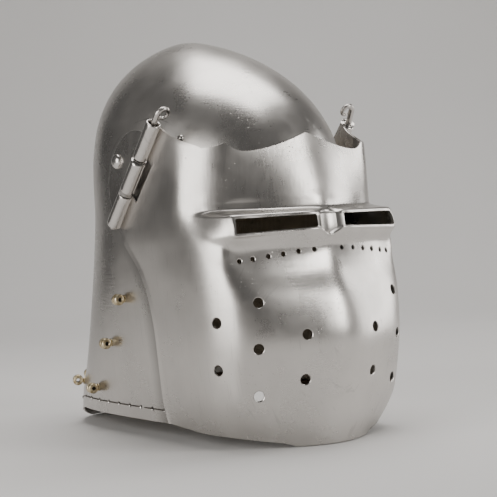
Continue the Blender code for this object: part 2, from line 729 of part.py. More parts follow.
def make_vervelle(name, angle, z, parts, cutters):
    """Pierced brass bead, bored level along the skull, on a stem riveted through it."""
    frame = stand_frame(angle, z)
    outward = normal_of(skull_outer, angle, z, 0.01, 1.0)
    bore = np.cross((0.0, 0.0, 1.0), outward)
    bead = frame_at(skull_outer(angle, z) + outward * BEAD_STAND, bore, side=outward)
    half = BEAD_HALF_LENGTH
    shoulder = BEAD_RADIUS * 0.82
    profile = [(BEAD_BORE, half), (shoulder, half), (BEAD_RADIUS, half * 0.5), (BEAD_RADIUS, -half * 0.5)]
    profile += [(shoulder, -half), (BEAD_BORE, -half)]
    obj = turned(name, profile, bead, parts, BRASS, sides=10, ring=True)
    tail = SHEET + 2.0 * GAP
    stem_bm = bmesh.new()
    cylinder(stem_bm, frame, 1.5, -tail - 0.6, BEAD_STAND - 2.4, 6)
    cylinder(stem_bm, frame, 3.2, GAP, 1.2, 8)
    cylinder(stem_bm, frame, 2.6, -tail - 1.2, -tail, 6)
    stem = add_mesh(f"{name}_stem", stem_bm, cutters)
    hide_cutter(stem)
    modifier = boolean(obj, stem, "UNION")
    modifier.use_self = True


def make_lining(parts, cutters):
    """Padded lining that follows the inside of the skull."""
    shell = skull_shell(LINING_DEPTH, lambda y: rim_z(y) + LINING_UP, LINING_SIDES)
    lining = add_mesh("lining", shell, parts, LINEN)
    solidify(lining, LINING_THICK)
    boolean(lining, opening_cutter(cutters, grow=4.0), "DIFFERENCE")


def make_lining_strip(parts):
    """Leather strip sewn inside the rim, which carries the lining."""
    rows = []
    angles = rim_walk(12.0, 5.0)
    for share in (0.0, 0.5, 1.0):
        row = []
        for angle in angles:
            y = skull_outer(angle, -165.0)[1]
            row.append(skull_point(angle, rim_z(y) + 3.5 + (STRIP_TALL - 6.0) * share, STRIP_DEPTH))
        rows.append(row)
    bm = grid(rows[::-1])
    for face in bm.faces:
        face.normal_update()
    strip = add_mesh("lining_strip", bm, parts, LEATHER)
    solidify(strip, STRIP_THICK)


def make_thread(parts):
    """Waxed thread that runs from hole to hole along the rim."""
    points = []
    places = stitch_places()
    for (a0, z0), (a1, z1) in zip(places, places[1:]):
        for share in (0.0, 0.5):
            points.append(skull_point(a0 + (a1 - a0) * share, z0 + (z1 - z0) * share, -THREAD_RADIUS - GAP))
    points.append(skull_point(*places[-1], -THREAD_RADIUS - GAP))
    wire("lining_thread", points, THREAD_RADIUS, parts, THREAD, resolution=1)


def main():
    clear_scene()
    parts = collection("knight_helmet")
    cutters = collection("cutters")
    make_skull(parts, cutters)
    make_visor(parts, cutters)
    for side, word in ((-1, "right"), (1, "left")):
        make_hinge_plate(side, word, parts, cutters)
        make_hinge_pin(side, word, parts)
    make_pivots(parts)
    make_studs(parts)
    for name, angle, z in vervelle_places():
        make_vervelle(name, angle, z, parts, cutters)
    make_lining(parts, cutters)
    make_lining_strip(parts)
    make_thread(parts)


main()
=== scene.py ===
"""Looks of the visored knight's helmet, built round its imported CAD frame.

Lengths are in millimetres in the helmet's face frame, as in the part: x across with the
wearer's right at -x, y backwards from the sights, z up from the top of the sights.
place() turns them into world metres.
"""

import math

import bmesh
import bpy
import numpy as np
from mathutils import Matrix, Vector, noise
from mathutils.bvhtree import BVHTree
from mathutils.interpolate import poly_3d_calc


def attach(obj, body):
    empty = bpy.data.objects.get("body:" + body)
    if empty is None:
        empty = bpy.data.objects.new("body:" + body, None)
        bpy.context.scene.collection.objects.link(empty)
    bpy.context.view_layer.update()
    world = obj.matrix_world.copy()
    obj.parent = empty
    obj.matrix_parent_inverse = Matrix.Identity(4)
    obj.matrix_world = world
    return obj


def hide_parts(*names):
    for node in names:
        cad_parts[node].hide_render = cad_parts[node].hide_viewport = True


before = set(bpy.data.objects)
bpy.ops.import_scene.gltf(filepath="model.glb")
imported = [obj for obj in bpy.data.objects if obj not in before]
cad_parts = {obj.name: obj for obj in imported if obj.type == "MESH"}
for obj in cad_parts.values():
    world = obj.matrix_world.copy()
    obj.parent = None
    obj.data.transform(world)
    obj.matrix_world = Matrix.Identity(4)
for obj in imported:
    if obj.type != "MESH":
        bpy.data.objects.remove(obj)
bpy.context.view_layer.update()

MM = 0.001
SIGHT_HEIGHT = 184.0
MID_DEPTH = 144.35
SHEET = 1.6
GAP = 0.4

# ---- skull ---------------------------------------------------------------------------
SKULL_HALF_WIDTH = 97.0
SKULL_HALF_DEPTH = 130.5
SKULL_CENTRE_Y = 149.0
APEX_Z = 155.0
APEX_SHIFT = 35.5
DOME_FULLNESS = 3.0
DOME_POINT = 0.66
# height, half width, front reach, back reach, squareness of the front half and of the back half
SKULL_STATIONS = (
    (-190.0, 86.0, 122.0, 156.5, 2.7, 3.5),
    (-168.0, 85.2, 122.0, 154.5, 2.7, 3.5),
    (-155.0, 86.6, 122.4, 151.0, 2.65, 3.45),
    (-140.0, 88.5, 123.2, 145.5, 2.58, 3.2),
    (-105.0, 92.0, 125.0, 138.5, 2.45, 2.75),
    (-36.0, 96.0, 128.5, 131.0, 2.15, 2.2),
    (0.0, 97.0, 130.5, 130.5, 2.0, 2.0),
)
RIM_FRONT_Z = -170.0
RIM_FRONT_Y = 258.0
RIM_BACK_Y = 298.0
RIM_DROP = 14.0
OPENING_SIDE_Y = 88.0
OPENING_BROW_Z = 42.0
OPENING_CORNER = 38.0

# ---- visor -----------------------------------------------------------------------------
VISOR_LINES = (0.0, 14.0, 37.0, 62.0, 80.0, 98.0, 128.0, 190.0)
VISOR_SECTIONS = (
    (84, (0, 30), (14, 31.5), (36, 35.5), (60, 41), (73, 45), (84, 57), (95, 74), (99.3, 86)),
    (60, (0, 24), (14, 25.5), (36, 29.5), (60, 34.5), (72.5, 38.1), (86, 51), (96, 73), (99.6, 105)),
    (36, (0, 17), (14, 18.5), (36, 24), (60, 32.5), (75, 38.7), (88.5, 51.5), (99, 75), (100, 124)),
    (20, (0, 12.5), (14, 14.5), (36, 21), (60, 31), (76.5, 39.2), (89.5, 52), (100, 75), (100, 137)),
    (6, (0, 8.5), (14, 11), (36, 18.5), (60, 30.5), (78, 39.7), (90.5, 52.5), (101, 75), (100, 149)),
    (1, (0, 2.5), (14, 0), (36, 6.5), (60, 13.3), (84.5, 21), (92.5, 49.5), (101, 75), (100, 153)),
    (-13, (0, 0.5), (14, -2), (36, 3.3), (60, 9), (85.5, 16.5), (95, 38), (101.5, 70), (99.6, 153)),
    (-26, (0, 2.5), (14, 3.6), (36, 7.8), (60, 14), (80, 21), (90, 26), (101, 58), (98.6, 144)),
    (-36, (0, 1), (14, 3), (36, 7.3), (60, 13.5), (78, 19.8), (90, 24.5), (101, 58), (97.6, 134)),
    (-67, (0, -13), (14, -10.5), (36, -5), (60, 1.5), (75, 7), (88, 17), (99.5, 50), (95.6, 120.5)),
    (-100, (0, -18.5), (14, -16.2), (36, -9.8), (60, -1.5), (74, 4.7), (87, 15.5), (98, 48), (93.5, 116)),
    (-129, (0, -12.5), (14, -10.5), (36, -4), (60, 5), (73, 10.5), (85, 17.5), (95, 48), (90.4, 117)),
    (-150, (0, -8), (14, -6.5), (36, 0), (60, 8), (72, 13), (83, 20), (92, 52), (88.6, 117)),
    (-170, (0, -5.5), (14, -4), (36, 3.5), (59, 13), (69, 20), (78, 31), (88, 65), (87.4, 111)),
    (-188, (0, -3.5), (14, -1), (36, 9.5), (56, 25), (66, 38), (73, 52), (81, 80), (86, 107)),
)
PEAK_Z = 67.0
VALLEY_Z = 53.0
VALLEY_LINE = 58.0
CUSP_Z = 60.0
SIDE_VALLEY_Z = 56.5
SIDE_VALLEY_LINE = 99.0
HINGE_TOP_Z = 78.0
CHIN_Z = -184.0
VISOR_REAR_Z = -169.0
REAR_EDGE_TOP_Z = -13.0
REAR_EDGE_FOOT_Y = 116.0
REAR_EDGE_REACH = 37.0  # how much further back the rear edge runs at its top than at its foot
REAR_EDGE_FALL = 33.0  # height over which most of that reach is lost
SIGHT_INNER = ((13.9, 0.0), (13.5, -10.0))
SIGHT_OUTER = ((81.6, -0.7), (82.4, -12.5))
SIGHT_SLOPE = 0.2855  # how fast the front of each sight runs back from its inner end
SIGHT_CORNER = 1.6
NASAL_LOW_Z = -17.5  # where the lips of the two sights meet on the keel
SMALL_HOLE_RADIUS = 1.9
SMALL_HOLES = ((14.5, -27.9), (28.7, -28.7), (42.0, -30.1), (54.6, -31.3), (67.4, -32.8), (77.9, -33.9))
BREATH_RADIUS = 4.2
BREATHS = (
    (36.9, -93.9), (36.6, -128.7),
    (75.5, -66.8), (79.5, -102.7), (77.5, -140.2),
    (112.5, -81.0), (115.0, -118.5),
)

# ---- hinges ------------------------------------------------------------------------------
HINGE_X = 104.5
HINGE_BOTTOM = (156.0, -3.0)
HINGE_TOP = (90.0, 78.0)
KNUCKLE_RADIUS = 6.2
KNUCKLE_WALL = 1.7
KNUCKLE_SPLITS = (0.0, 0.305, 0.665, 1.0)
PLATE_X = 98.0
PLATE_THICK = 1.8
PLATE_CENTRE = 45.0
PLATE_RADIUS = 42.0
PLATE_INSET = 7.2
NOTCH_FRONT = 11.5
PLATE_BEND = 2.6  # how far the plate's back leans in towards the skull
PIN_RADIUS = 2.5
PIN_STEMS = {"right": 116.0, "left": 121.0}
PIN_LEANS = {"right": 0.0, "left": 0.3}
PIN_DROP = 3.0
SCROLL_RADIUS = 5.6
SCROLL_TURNS = 0.84
PIVOT_ALONG = 41.7
PIVOT_BEHIND = 32.7

# ---- fittings ------------------------------------------------------------------------------
STUD = (90.5, 65.5)
VERVELLES = ((160.5, -66.0), (189.0, -105.0), (223.0, -147.0), (267.0, -146.0), (291.0, -146.0))
BEAD_RADIUS = 4.7
BEAD_BORE = 1.7
BEAD_HALF_LENGTH = 3.9
BEAD_STAND = 6.4
STITCH_UP = 11.5
STITCH_PITCH = 17.5
STITCH_HOLE = 1.4
THREAD_RADIUS = 0.42
# along one stitch, as a share of its length: how deep under the skull's face the thread runs
THREAD_STITCH = (
    (0.0, 2.0), (0.055, 1.0), (0.085, -0.3), (0.16, -0.5),
    (0.5, -0.6), (0.84, -0.5), (0.915, -0.3), (0.945, 1.0),
)
LINING_DEPTH = 6.8
LINING_THICK = 7.0
LINING_UP = 17.0
LINING_SEAMS = 18
STRIP_DEPTH = 2.8
STRIP_THICK = 1.6
STRIP_TALL = 20.0

# ---- camera: position and axes in the face frame -------------------------------------------
CAMERA_AT = (-774.756, -889.476, 18.870)
CAMERA_RIGHT = (0.78801, -0.61416, -0.04295)
CAMERA_UP = (0.05697, 0.00328, 0.99837)
CAMERA_LENS = 106.874


def place(x, y, z):
    return Vector((x, y - MID_DEPTH, z + SIGHT_HEIGHT)) * MM


def placed(points):
    """World metres of an array of points of the face frame."""
    return (np.asarray(points, float) + (0.0, -MID_DEPTH, SIGHT_HEIGHT)) * MM


# ---- smooth curves ---------------------------------------------------------------------------
def slopes_of(knots, values):
    """Slope at each knot, along the second last axis, so that no curve overshoots."""
    rises = np.diff(values, axis=-2) / np.diff(knots)[:, None]
    before, after = rises[..., :-1, :], rises[..., 1:, :]
    turning = before * after <= 0.0
    inner = np.where(turning, 0.0, 2.0 * before * after / np.where(turning, 1.0, before + after))
    return np.concatenate((rises[..., :1, :], inner, rises[..., -1:, :]), axis=-2)


def glide(knots, values, t):
    """Values at each t of curves through the knots; values may differ for each t."""
    knots = np.asarray(knots, float)
    values = np.asarray(values, float)
    t = np.asarray(t, float)
    if values.ndim == 2:
        values = values[None]
    slopes = slopes_of(knots, values)
    values = np.broadcast_to(values, (len(t), *values.shape[1:]))
    slopes = np.broadcast_to(slopes, values.shape)
    i = np.clip(np.searchsorted(knots, t) - 1, 0, len(knots) - 2)
    rows = np.arange(len(t))
    step = (knots[i + 1] - knots[i])[:, None]
    s = (t - knots[i])[:, None] / step
    start = (1 + 2 * s) * (1 - s) ** 2 * values[rows, i] + s * (1 - s) ** 2 * step * slopes[rows, i]
    end = s * s * (3 - 2 * s) * values[rows, i + 1] + s * s * (s - 1) * step * slopes[rows, i + 1]
    return start + end


def blurred(array, sigma, axis):
    """Gaussian blur along one axis, with the ends carried on straight."""
    if sigma <= 0:
        return array
    reach = int(math.ceil(3 * sigma))
    weights = np.exp(-0.5 * (np.arange(-reach, reach + 1) / sigma) ** 2)
    weights /= weights.sum()
    moved = np.moveaxis(array, axis, 0)
    head = 2 * moved[:1] - moved[reach:0:-1]
    tail = 2 * moved[-1:] - moved[-2 : -reach - 2 : -1]
    padded = np.concatenate((head, moved, tail))
    total = sum(w * padded[k : k + len(moved)] for k, w in enumerate(weights))
    return np.moveaxis(total, 0, axis)


def smooth_step(low, high, value):
    t = np.clip((value - low) / (high - low), 0.0, 1.0)
    return t * t * (3 - 2 * t)


# ---- the skull's surface -----------------------------------------------------------------------
PLAN_STEP = 1.0
PLAN_Z = np.arange(-192.0, 60.0, PLAN_STEP)


def skull_plan_table():
    """Half width, reaches and squarenesses of the skull at each PLAN_Z, without kinks."""
    heights = [station[0] for station in SKULL_STATIONS]
    low = glide(heights, [station[1:] for station in SKULL_STATIONS], np.minimum(PLAN_Z, 0.0))
    size = dome_size(np.maximum(PLAN_Z, 0.0))
    low[:, 0] = np.where(PLAN_Z > 0, SKULL_HALF_WIDTH * size, low[:, 0])
    low[:, 1:3] = np.where(PLAN_Z[:, None] > 0, SKULL_HALF_DEPTH * size[:, None], low[:, 1:3])
    smooth = blurred(low, 6.0, 0)
    keep = smooth_step(30.0, 55.0, PLAN_Z)[:, None]
    return smooth * (1 - keep) + low * keep


def dome_size(z):
    """Size of the dome's plan at a height, as a share of its size at its base."""
    return (1.0 - np.clip(z / APEX_Z, 0.0, 1.0) ** DOME_FULLNESS) ** DOME_POINT


SKULL_PLAN = skull_plan_table()


def skull_at(angle, z):
    """Points of the skull's outer face for arrays of angle (0 at the face) and height."""
    angle, z = np.broadcast_arrays(np.asarray(angle, float), np.asarray(z, float))
    index = np.clip((z - PLAN_Z[0]) / PLAN_STEP, 0, len(PLAN_Z) - 1.001)
    whole = index.astype(int)
    part = (index - whole)[..., None]
    plan = SKULL_PLAN[whole] * (1 - part) + SKULL_PLAN[whole + 1] * part
    size = dome_size(z)
    high = z > 50.0
    half_width = np.where(high, SKULL_HALF_WIDTH * size, plan[..., 0])
    front = np.where(high, SKULL_HALF_DEPTH * size, plan[..., 1])
    back = np.where(high, SKULL_HALF_DEPTH * size, plan[..., 2])
    centre = SKULL_CENTRE_Y + APEX_SHIFT * np.clip(z / APEX_Z, 0.0, 1.0) ** 2
    across, along = np.sin(angle), np.cos(angle)
    square = np.where(high, 2.0, np.where(along > 0, plan[..., 3], plan[..., 4]))
    x = half_width * np.sign(across) * np.abs(across) ** (2 / square)
    y = centre - np.where(along > 0, front, back) * np.sign(along) * np.abs(along) ** (2 / square)
    return np.stack((x, y, z), axis=-1)


def skull_normal(angle, z):
    z = np.minimum(z, APEX_Z - 3.0)
    along = skull_at(np.asarray(angle) + 0.01, z) - skull_at(np.asarray(angle) - 0.01, z)
    up = skull_at(angle, z + 1.0) - skull_at(angle, z - 1.0)
    normal = np.cross(along, up)
    return normal / np.linalg.norm(normal, axis=-1, keepdims=True)


def skull_in(angle, z, depth=0.0):
    """Points at a depth under the skull's outer face."""
    return skull_at(angle, z) - depth * skull_normal(angle, np.asarray(z, float))


def rim_z(y):
    share = np.clip((y - RIM_FRONT_Y) / (RIM_BACK_Y - RIM_FRONT_Y), 0.0, 1.0)
    return RIM_FRONT_Z - RIM_DROP * share * share


def angle_at(side, y, z):
    trial = np.linspace(0.0, math.pi, 721)
    return side * float(np.interp(y, skull_at(trial, z)[:, 1], trial))


# ---- the visor's surface -------------------------------------------------------------------------
LINE_STEP = 1.5
ROW_STEP = 0.75
LINES = np.arange(-190.5, 190.6, LINE_STEP)
ROWS = np.arange(88.5, -192.1, -ROW_STEP)


def visor_table():
    """The visor's (x, y) at every ROWS height and LINES distance, soft except at its folds."""
    heights = [-section[0] for section in VISOR_SECTIONS]
    flat = [np.ravel(section[1:]) for section in VISOR_SECTIONS]
    plans = glide(heights, flat, np.clip(-ROWS, heights[0], heights[-1])).reshape(len(ROWS), -1, 2)
    mirrored = np.concatenate((plans[:, :0:-1] * (-1.0, 1.0), plans), axis=1)
    knots = np.array(VISOR_LINES)
    knots = np.concatenate((-knots[:0:-1], knots))
    count = len(LINES)
    spread = np.repeat(mirrored, count, axis=0)
    raw = glide(knots, spread, np.tile(np.clip(LINES, -190, 190), len(ROWS))).reshape(len(ROWS), count, 2)
    soft = blurred(blurred(raw, 4.5, 1), 9.0, 0)
    crisp = blurred(blurred(raw, 1.3, 1), 0.9, 0)
    line = np.abs(LINES)[None, :]
    z = ROWS[:, None]
    box = smooth_step(-40.0, -30.0, z) * (1 - smooth_step(11.0, 20.0, z))
    box = box * (1 - smooth_step(95.0, 112.0, line))
    crease = smooth_step(-2.0, 8.0, z) * np.exp(-(((line - 80.0) / 10.0) ** 2))
    keep = np.clip(np.maximum(box, crease), 0.0, 1.0)[..., None]
    return soft * (1 - keep) + crisp * keep


def visor_base(table, columns, z):
    """Points of the visor at LINES columns and heights, smooth between the table's rows."""
    index = np.clip((ROWS[0] - z) / ROW_STEP, 1, len(ROWS) - 2.001)
    whole = index.astype(int)
    t = (index - whole)[..., None]
    p0, p1, p2, p3 = (table[np.clip(whole + k, 0, len(ROWS) - 1), columns] for k in (-1, 0, 1, 2))
    curve = p1 + 0.5 * t * (p2 - p0 + t * (2 * p0 - 5 * p1 + 4 * p2 - p3 + t * (3 * (p1 - p2) + p3 - p0)))
    return np.concatenate((curve, z[..., None]), axis=-1)


def brow_z(line):
    """Height of the visor's scalloped upper edge."""
    line = np.abs(line)
    cusp = VISOR_LINES[4]
    peak = VALLEY_Z + (PEAK_Z - VALLEY_Z) * np.clip(1 - line / VALLEY_LINE, 0, 1) ** 1.6
    rise = np.clip((line - VALLEY_LINE) / (cusp - VALLEY_LINE), 0, 1)
    fall = np.clip((SIDE_VALLEY_LINE - line) / (SIDE_VALLEY_LINE - cusp), 0, 1)
    climb = np.clip((line - SIDE_VALLEY_LINE) / (VISOR_LINES[-1] - SIDE_VALLEY_LINE), 0, 1)
    near = np.where(line <= VALLEY_LINE, peak, VALLEY_Z + (CUSP_Z - VALLEY_Z) * rise**2.2)
    side = SIDE_VALLEY_Z + (CUSP_Z - SIDE_VALLEY_Z) * fall**2.2
    far = SIDE_VALLEY_Z + (HINGE_TOP_Z - SIDE_VALLEY_Z) * climb**0.8
    return np.where(line <= cusp, near, np.where(line <= SIDE_VALLEY_LINE, side, far))


def chin_z(line):
    share = np.clip((np.abs(line) - 40.0) / (VISOR_LINES[-1] - 40.0), 0, 1)
    return CHIN_Z + (VISOR_REAR_Z - CHIN_Z) * share**0.55


def distance_to_path(x, z, path):
    """Distance of each (x, z) to an open path of points."""
    best = np.full(np.shape(x), 1e9)
    for (ax, az), (bx, bz) in zip(path, path[1:]):
        dx, dz = bx - ax, bz - az
        t = np.clip(((x - ax) * dx + (z - az) * dz) / (dx * dx + dz * dz), 0, 1)
        best = np.minimum(best, np.hypot(x - ax - t * dx, z - az - t * dz))
    return best


def visor_relief(points):
    """How far each point of the visor stands proud of its base, for lips and tool marks."""
    x, z = np.abs(points[..., 0]), points[..., 2]
    (ix, iz), (jx, jz) = SIGHT_INNER
    (ox, oz), (px, pz) = SIGHT_OUTER
    out = 1.5
    outline = [(ix - out, iz + out), (ox + out, oz + out), (px + out, pz - out), (jx - out, jz - out)]
    outline.append(outline[0])
    lip = np.exp(-((distance_to_path(x, z, outline) / np.where(x < 14.0, 1.0, 1.35)) ** 2))
    nose = [(jx - out, jz - out), (9.0, -13.5), (5.0, -15.6), (0.0, NASAL_LOW_Z)]
    low_lip = np.exp(-((distance_to_path(x, z, nose) / 1.0) ** 2))
    relief = 1.25 * np.maximum(lip, low_lip)
    over_lip = z - (NASAL_LOW_Z + 0.5 * x)
    groove = smooth_step(0.8, 2.8, over_lip) * (1 - smooth_step(1.5, 4.5, z))
    groove = groove * np.clip(1 - x / (ix - out), 0, 1)
    relief -= 4.0 * groove
    return relief


# ---- mesh helpers -----------------------------------------------------------------------------------
def add_object(name, mesh):
    obj = bpy.data.objects.new(name, mesh)
    bpy.context.scene.collection.objects.link(obj)
    return obj


def mesh_of(name, points, faces, smooth=True):
    mesh = bpy.data.meshes.new(name)
    mesh.from_pydata([tuple(p) for p in points], [], faces)
    if smooth:
        mesh.shade_smooth()
    mesh.update()
    return mesh


def grid_normals(points, closed=False):
    """Unit normals of a grid of points (rows, columns, 3)."""
    if closed:
        wide = np.concatenate((points[:, -1:], points, points[:, :1]), axis=1)
        across = wide[:, 2:] - wide[:, :-2]
    else:
        across = np.gradient(points, axis=1)
    down = np.gradient(points, axis=0)
    normal = np.cross(down, across)
    return normal / np.maximum(np.linalg.norm(normal, axis=-1, keepdims=True), 1e-12)


def slab(name, outer, inner, closed=False, crown=None):
    """Closed sheet between two grids, with rounded edges on its open sides."""
    rows, columns = outer.shape[:2]
    points = [outer.reshape(-1, 3), inner.reshape(-1, 3)]
    faces = []

    def at(layer, r, c):
        return layer * rows * columns + r * columns + c % columns

    last = columns if closed else columns - 1
    for r in range(rows - 1):
        for c in range(last):
            faces.append((at(0, r, c), at(0, r + 1, c), at(0, r + 1, c + 1), at(0, r, c + 1)))
            faces.append((at(1, r, c + 1), at(1, r + 1, c + 1), at(1, r + 1, c), at(1, r, c)))
    total = 2 * rows * columns
    if crown is not None:
        points.append(np.array(crown))
        for c in range(columns):
            faces.append((total, at(0, 0, c), at(0, 0, c + 1)))
            faces.append((total + 1, at(1, 0, c + 1), at(1, 0, c)))
        total += 2
    if closed:
        edge = [(rows - 1, c) for c in range(columns)]
    else:
        edge = [(r, 0) for r in range(rows)] + [(rows - 1, c) for c in range(1, columns)]
        edge += [(r, columns - 1) for r in range(rows - 2, -1, -1)]
        edge += [(0, c) for c in range(columns - 2, 0, -1)]
    edge_r = np.array([e[0] for e in edge])
    edge_c = np.array([e[1] for e in edge])
    ring_outer, ring_inner = outer[edge_r, edge_c], inner[edge_r, edge_c]
    middle = (ring_outer + ring_inner) / 2
    along = np.roll(middle, -1, axis=0) - np.roll(middle, 1, axis=0)
    away = np.cross(along, ring_outer - ring_inner)
    away /= np.maximum(np.linalg.norm(away, axis=1, keepdims=True), 1e-12)
    half = np.linalg.norm(ring_outer - ring_inner, axis=1, keepdims=True) / 2
    rings = []
    for turn in (45.0, 90.0, 135.0):
        c, s = math.cos(math.radians(turn)), math.sin(math.radians(turn))
        rings.append(middle + (ring_outer - ring_inner) / 2 * c - away * half * s)
    points += rings
    count = len(edge)
    layers = [[at(0, r, c) for r, c in edge]]
    layers += [list(range(total + k * count, total + (k + 1) * count)) for k in range(3)]
    layers.append([at(1, r, c) for r, c in edge])
    for upper, lower in zip(layers, layers[1:]):
        for i in range(count):
            after = (i + 1) % count
            faces.append((upper[i], lower[i], lower[after], upper[after]))
    return mesh_of(name, np.concatenate(points), faces)


def face_out(mesh):
    bm = bmesh.new()
    bm.from_mesh(mesh)
    bmesh.ops.recalc_face_normals(bm, faces=bm.faces)
    bm.to_mesh(mesh)
    bm.free()
    mesh.shade_smooth()


def frame_at(origin, axis, side=(0.0, 0.0, 1.0)):
    """World matrix whose z axis is the given direction, at a point of the face frame."""
    z_axis = Vector(axis).normalized()
    x_axis = Vector(side).cross(z_axis)
    if x_axis.length < 0.01:
        x_axis = Vector((1.0, 0.0, 0.0)).cross(z_axis)
    x_axis.normalize()
    y_axis = z_axis.cross(x_axis)
    turn = Matrix((x_axis, y_axis, z_axis)).transposed().to_4x4()
    return Matrix.Translation(place(*origin)) @ turn


def revolve(bm, matrix, profile, sides, ring=False):
    """Adds a turned solid; the profile is (radius, height) in mm, down its outer side."""
    rings = []
    for radius, height in profile:
        if radius <= 0:
            rings.append([bm.verts.new(matrix @ Vector((0, 0, height * MM)))])
            continue
        turns = [2 * math.pi * i / sides for i in range(sides)]
        spots = [Vector((radius * MM * math.cos(t), radius * MM * math.sin(t), height * MM)) for t in turns]
        rings.append([bm.verts.new(matrix @ spot) for spot in spots])
    pairs = list(zip(rings, rings[1:]))
    if ring:
        pairs.append((rings[-1], rings[0]))
    for upper, lower in pairs:
        for i in range(sides):
            after = (i + 1) % sides
            corners = [upper[i % len(upper)], lower[i % len(lower)]]
            corners += [lower[after % len(lower)], upper[after % len(upper)]]
            unique = list(dict.fromkeys(corners))
            bm.faces.new(unique)


def closed_mesh(name, bm, sharp=None):
    """Mesh made of a bmesh, faces outwards; sharp is the angle in degrees from which an edge stays hard."""
    bmesh.ops.recalc_face_normals(bm, faces=bm.faces)
    mesh = bpy.data.meshes.new(name)
    bm.to_mesh(mesh)
    bm.free()
    if sharp:
        mesh.shade_smooth()
        mesh.set_sharp_from_angle(angle=math.radians(sharp))
    return mesh


def cut(obj, bm):
    """Cuts closed, separate cutters out of a piece, and removes them."""
    bmesh.ops.recalc_face_normals(bm, faces=bm.faces)
    mesh = bpy.data.meshes.new("cutter")
    bm.to_mesh(mesh)
    bm.free()
    cutter = add_object("cutter", mesh)
    modifier = obj.modifiers.new("Holes", "BOOLEAN")
    modifier.operation = "DIFFERENCE"
    modifier.solver = "MANIFOLD"
    modifier.object = cutter
    apply_modifiers(obj)
    bpy.data.objects.remove(cutter, do_unlink=True)


def apply_modifiers(obj):
    graph = bpy.context.evaluated_depsgraph_get()
    mesh = bpy.data.meshes.new_from_object(obj.evaluated_get(graph))
    old = obj.data
    obj.modifiers.clear()
    obj.data = mesh
    bpy.data.meshes.remove(old)


def polish(obj, source):
    """Gives the cut piece the unbroken normals of the sheet that it was cut from."""
    tree = BVHTree.FromPolygons([v.co for v in source.vertices], [p.vertices for p in source.polygons])
    normals = [v.normal.copy() for v in source.vertices]
    corners = [v.co for v in source.vertices]
    mesh = obj.data
    found = []
    for vert in mesh.vertices:
        spot, _, index, _ = tree.find_nearest(vert.co)
        ids = source.polygons[index].vertices
        weights = poly_3d_calc([corners[i] for i in ids], spot)
        total = Vector((0.0, 0.0, 0.0))
        for i, weight in zip(ids, weights):
            total += normals[i] * weight
        found.append(total.normalized())
    custom = []
    for polygon in mesh.polygons:
        flat = polygon.normal
        for index in polygon.vertices:
            smooth = found[index]
            custom.append(smooth if smooth.dot(flat) > 0.8 else flat)
    mesh.normals_split_custom_set(custom)


def hole_profile(radius, deep=5.0):
    """A hole with a burnished, slightly broken edge on its outer side."""
    edge = radius + 0.55
    return [(0, 4.0), (edge + 2.6, 4.0), (edge + 0.2, 0.2), (radius, -0.45), (radius, -deep), (0, -deep)]


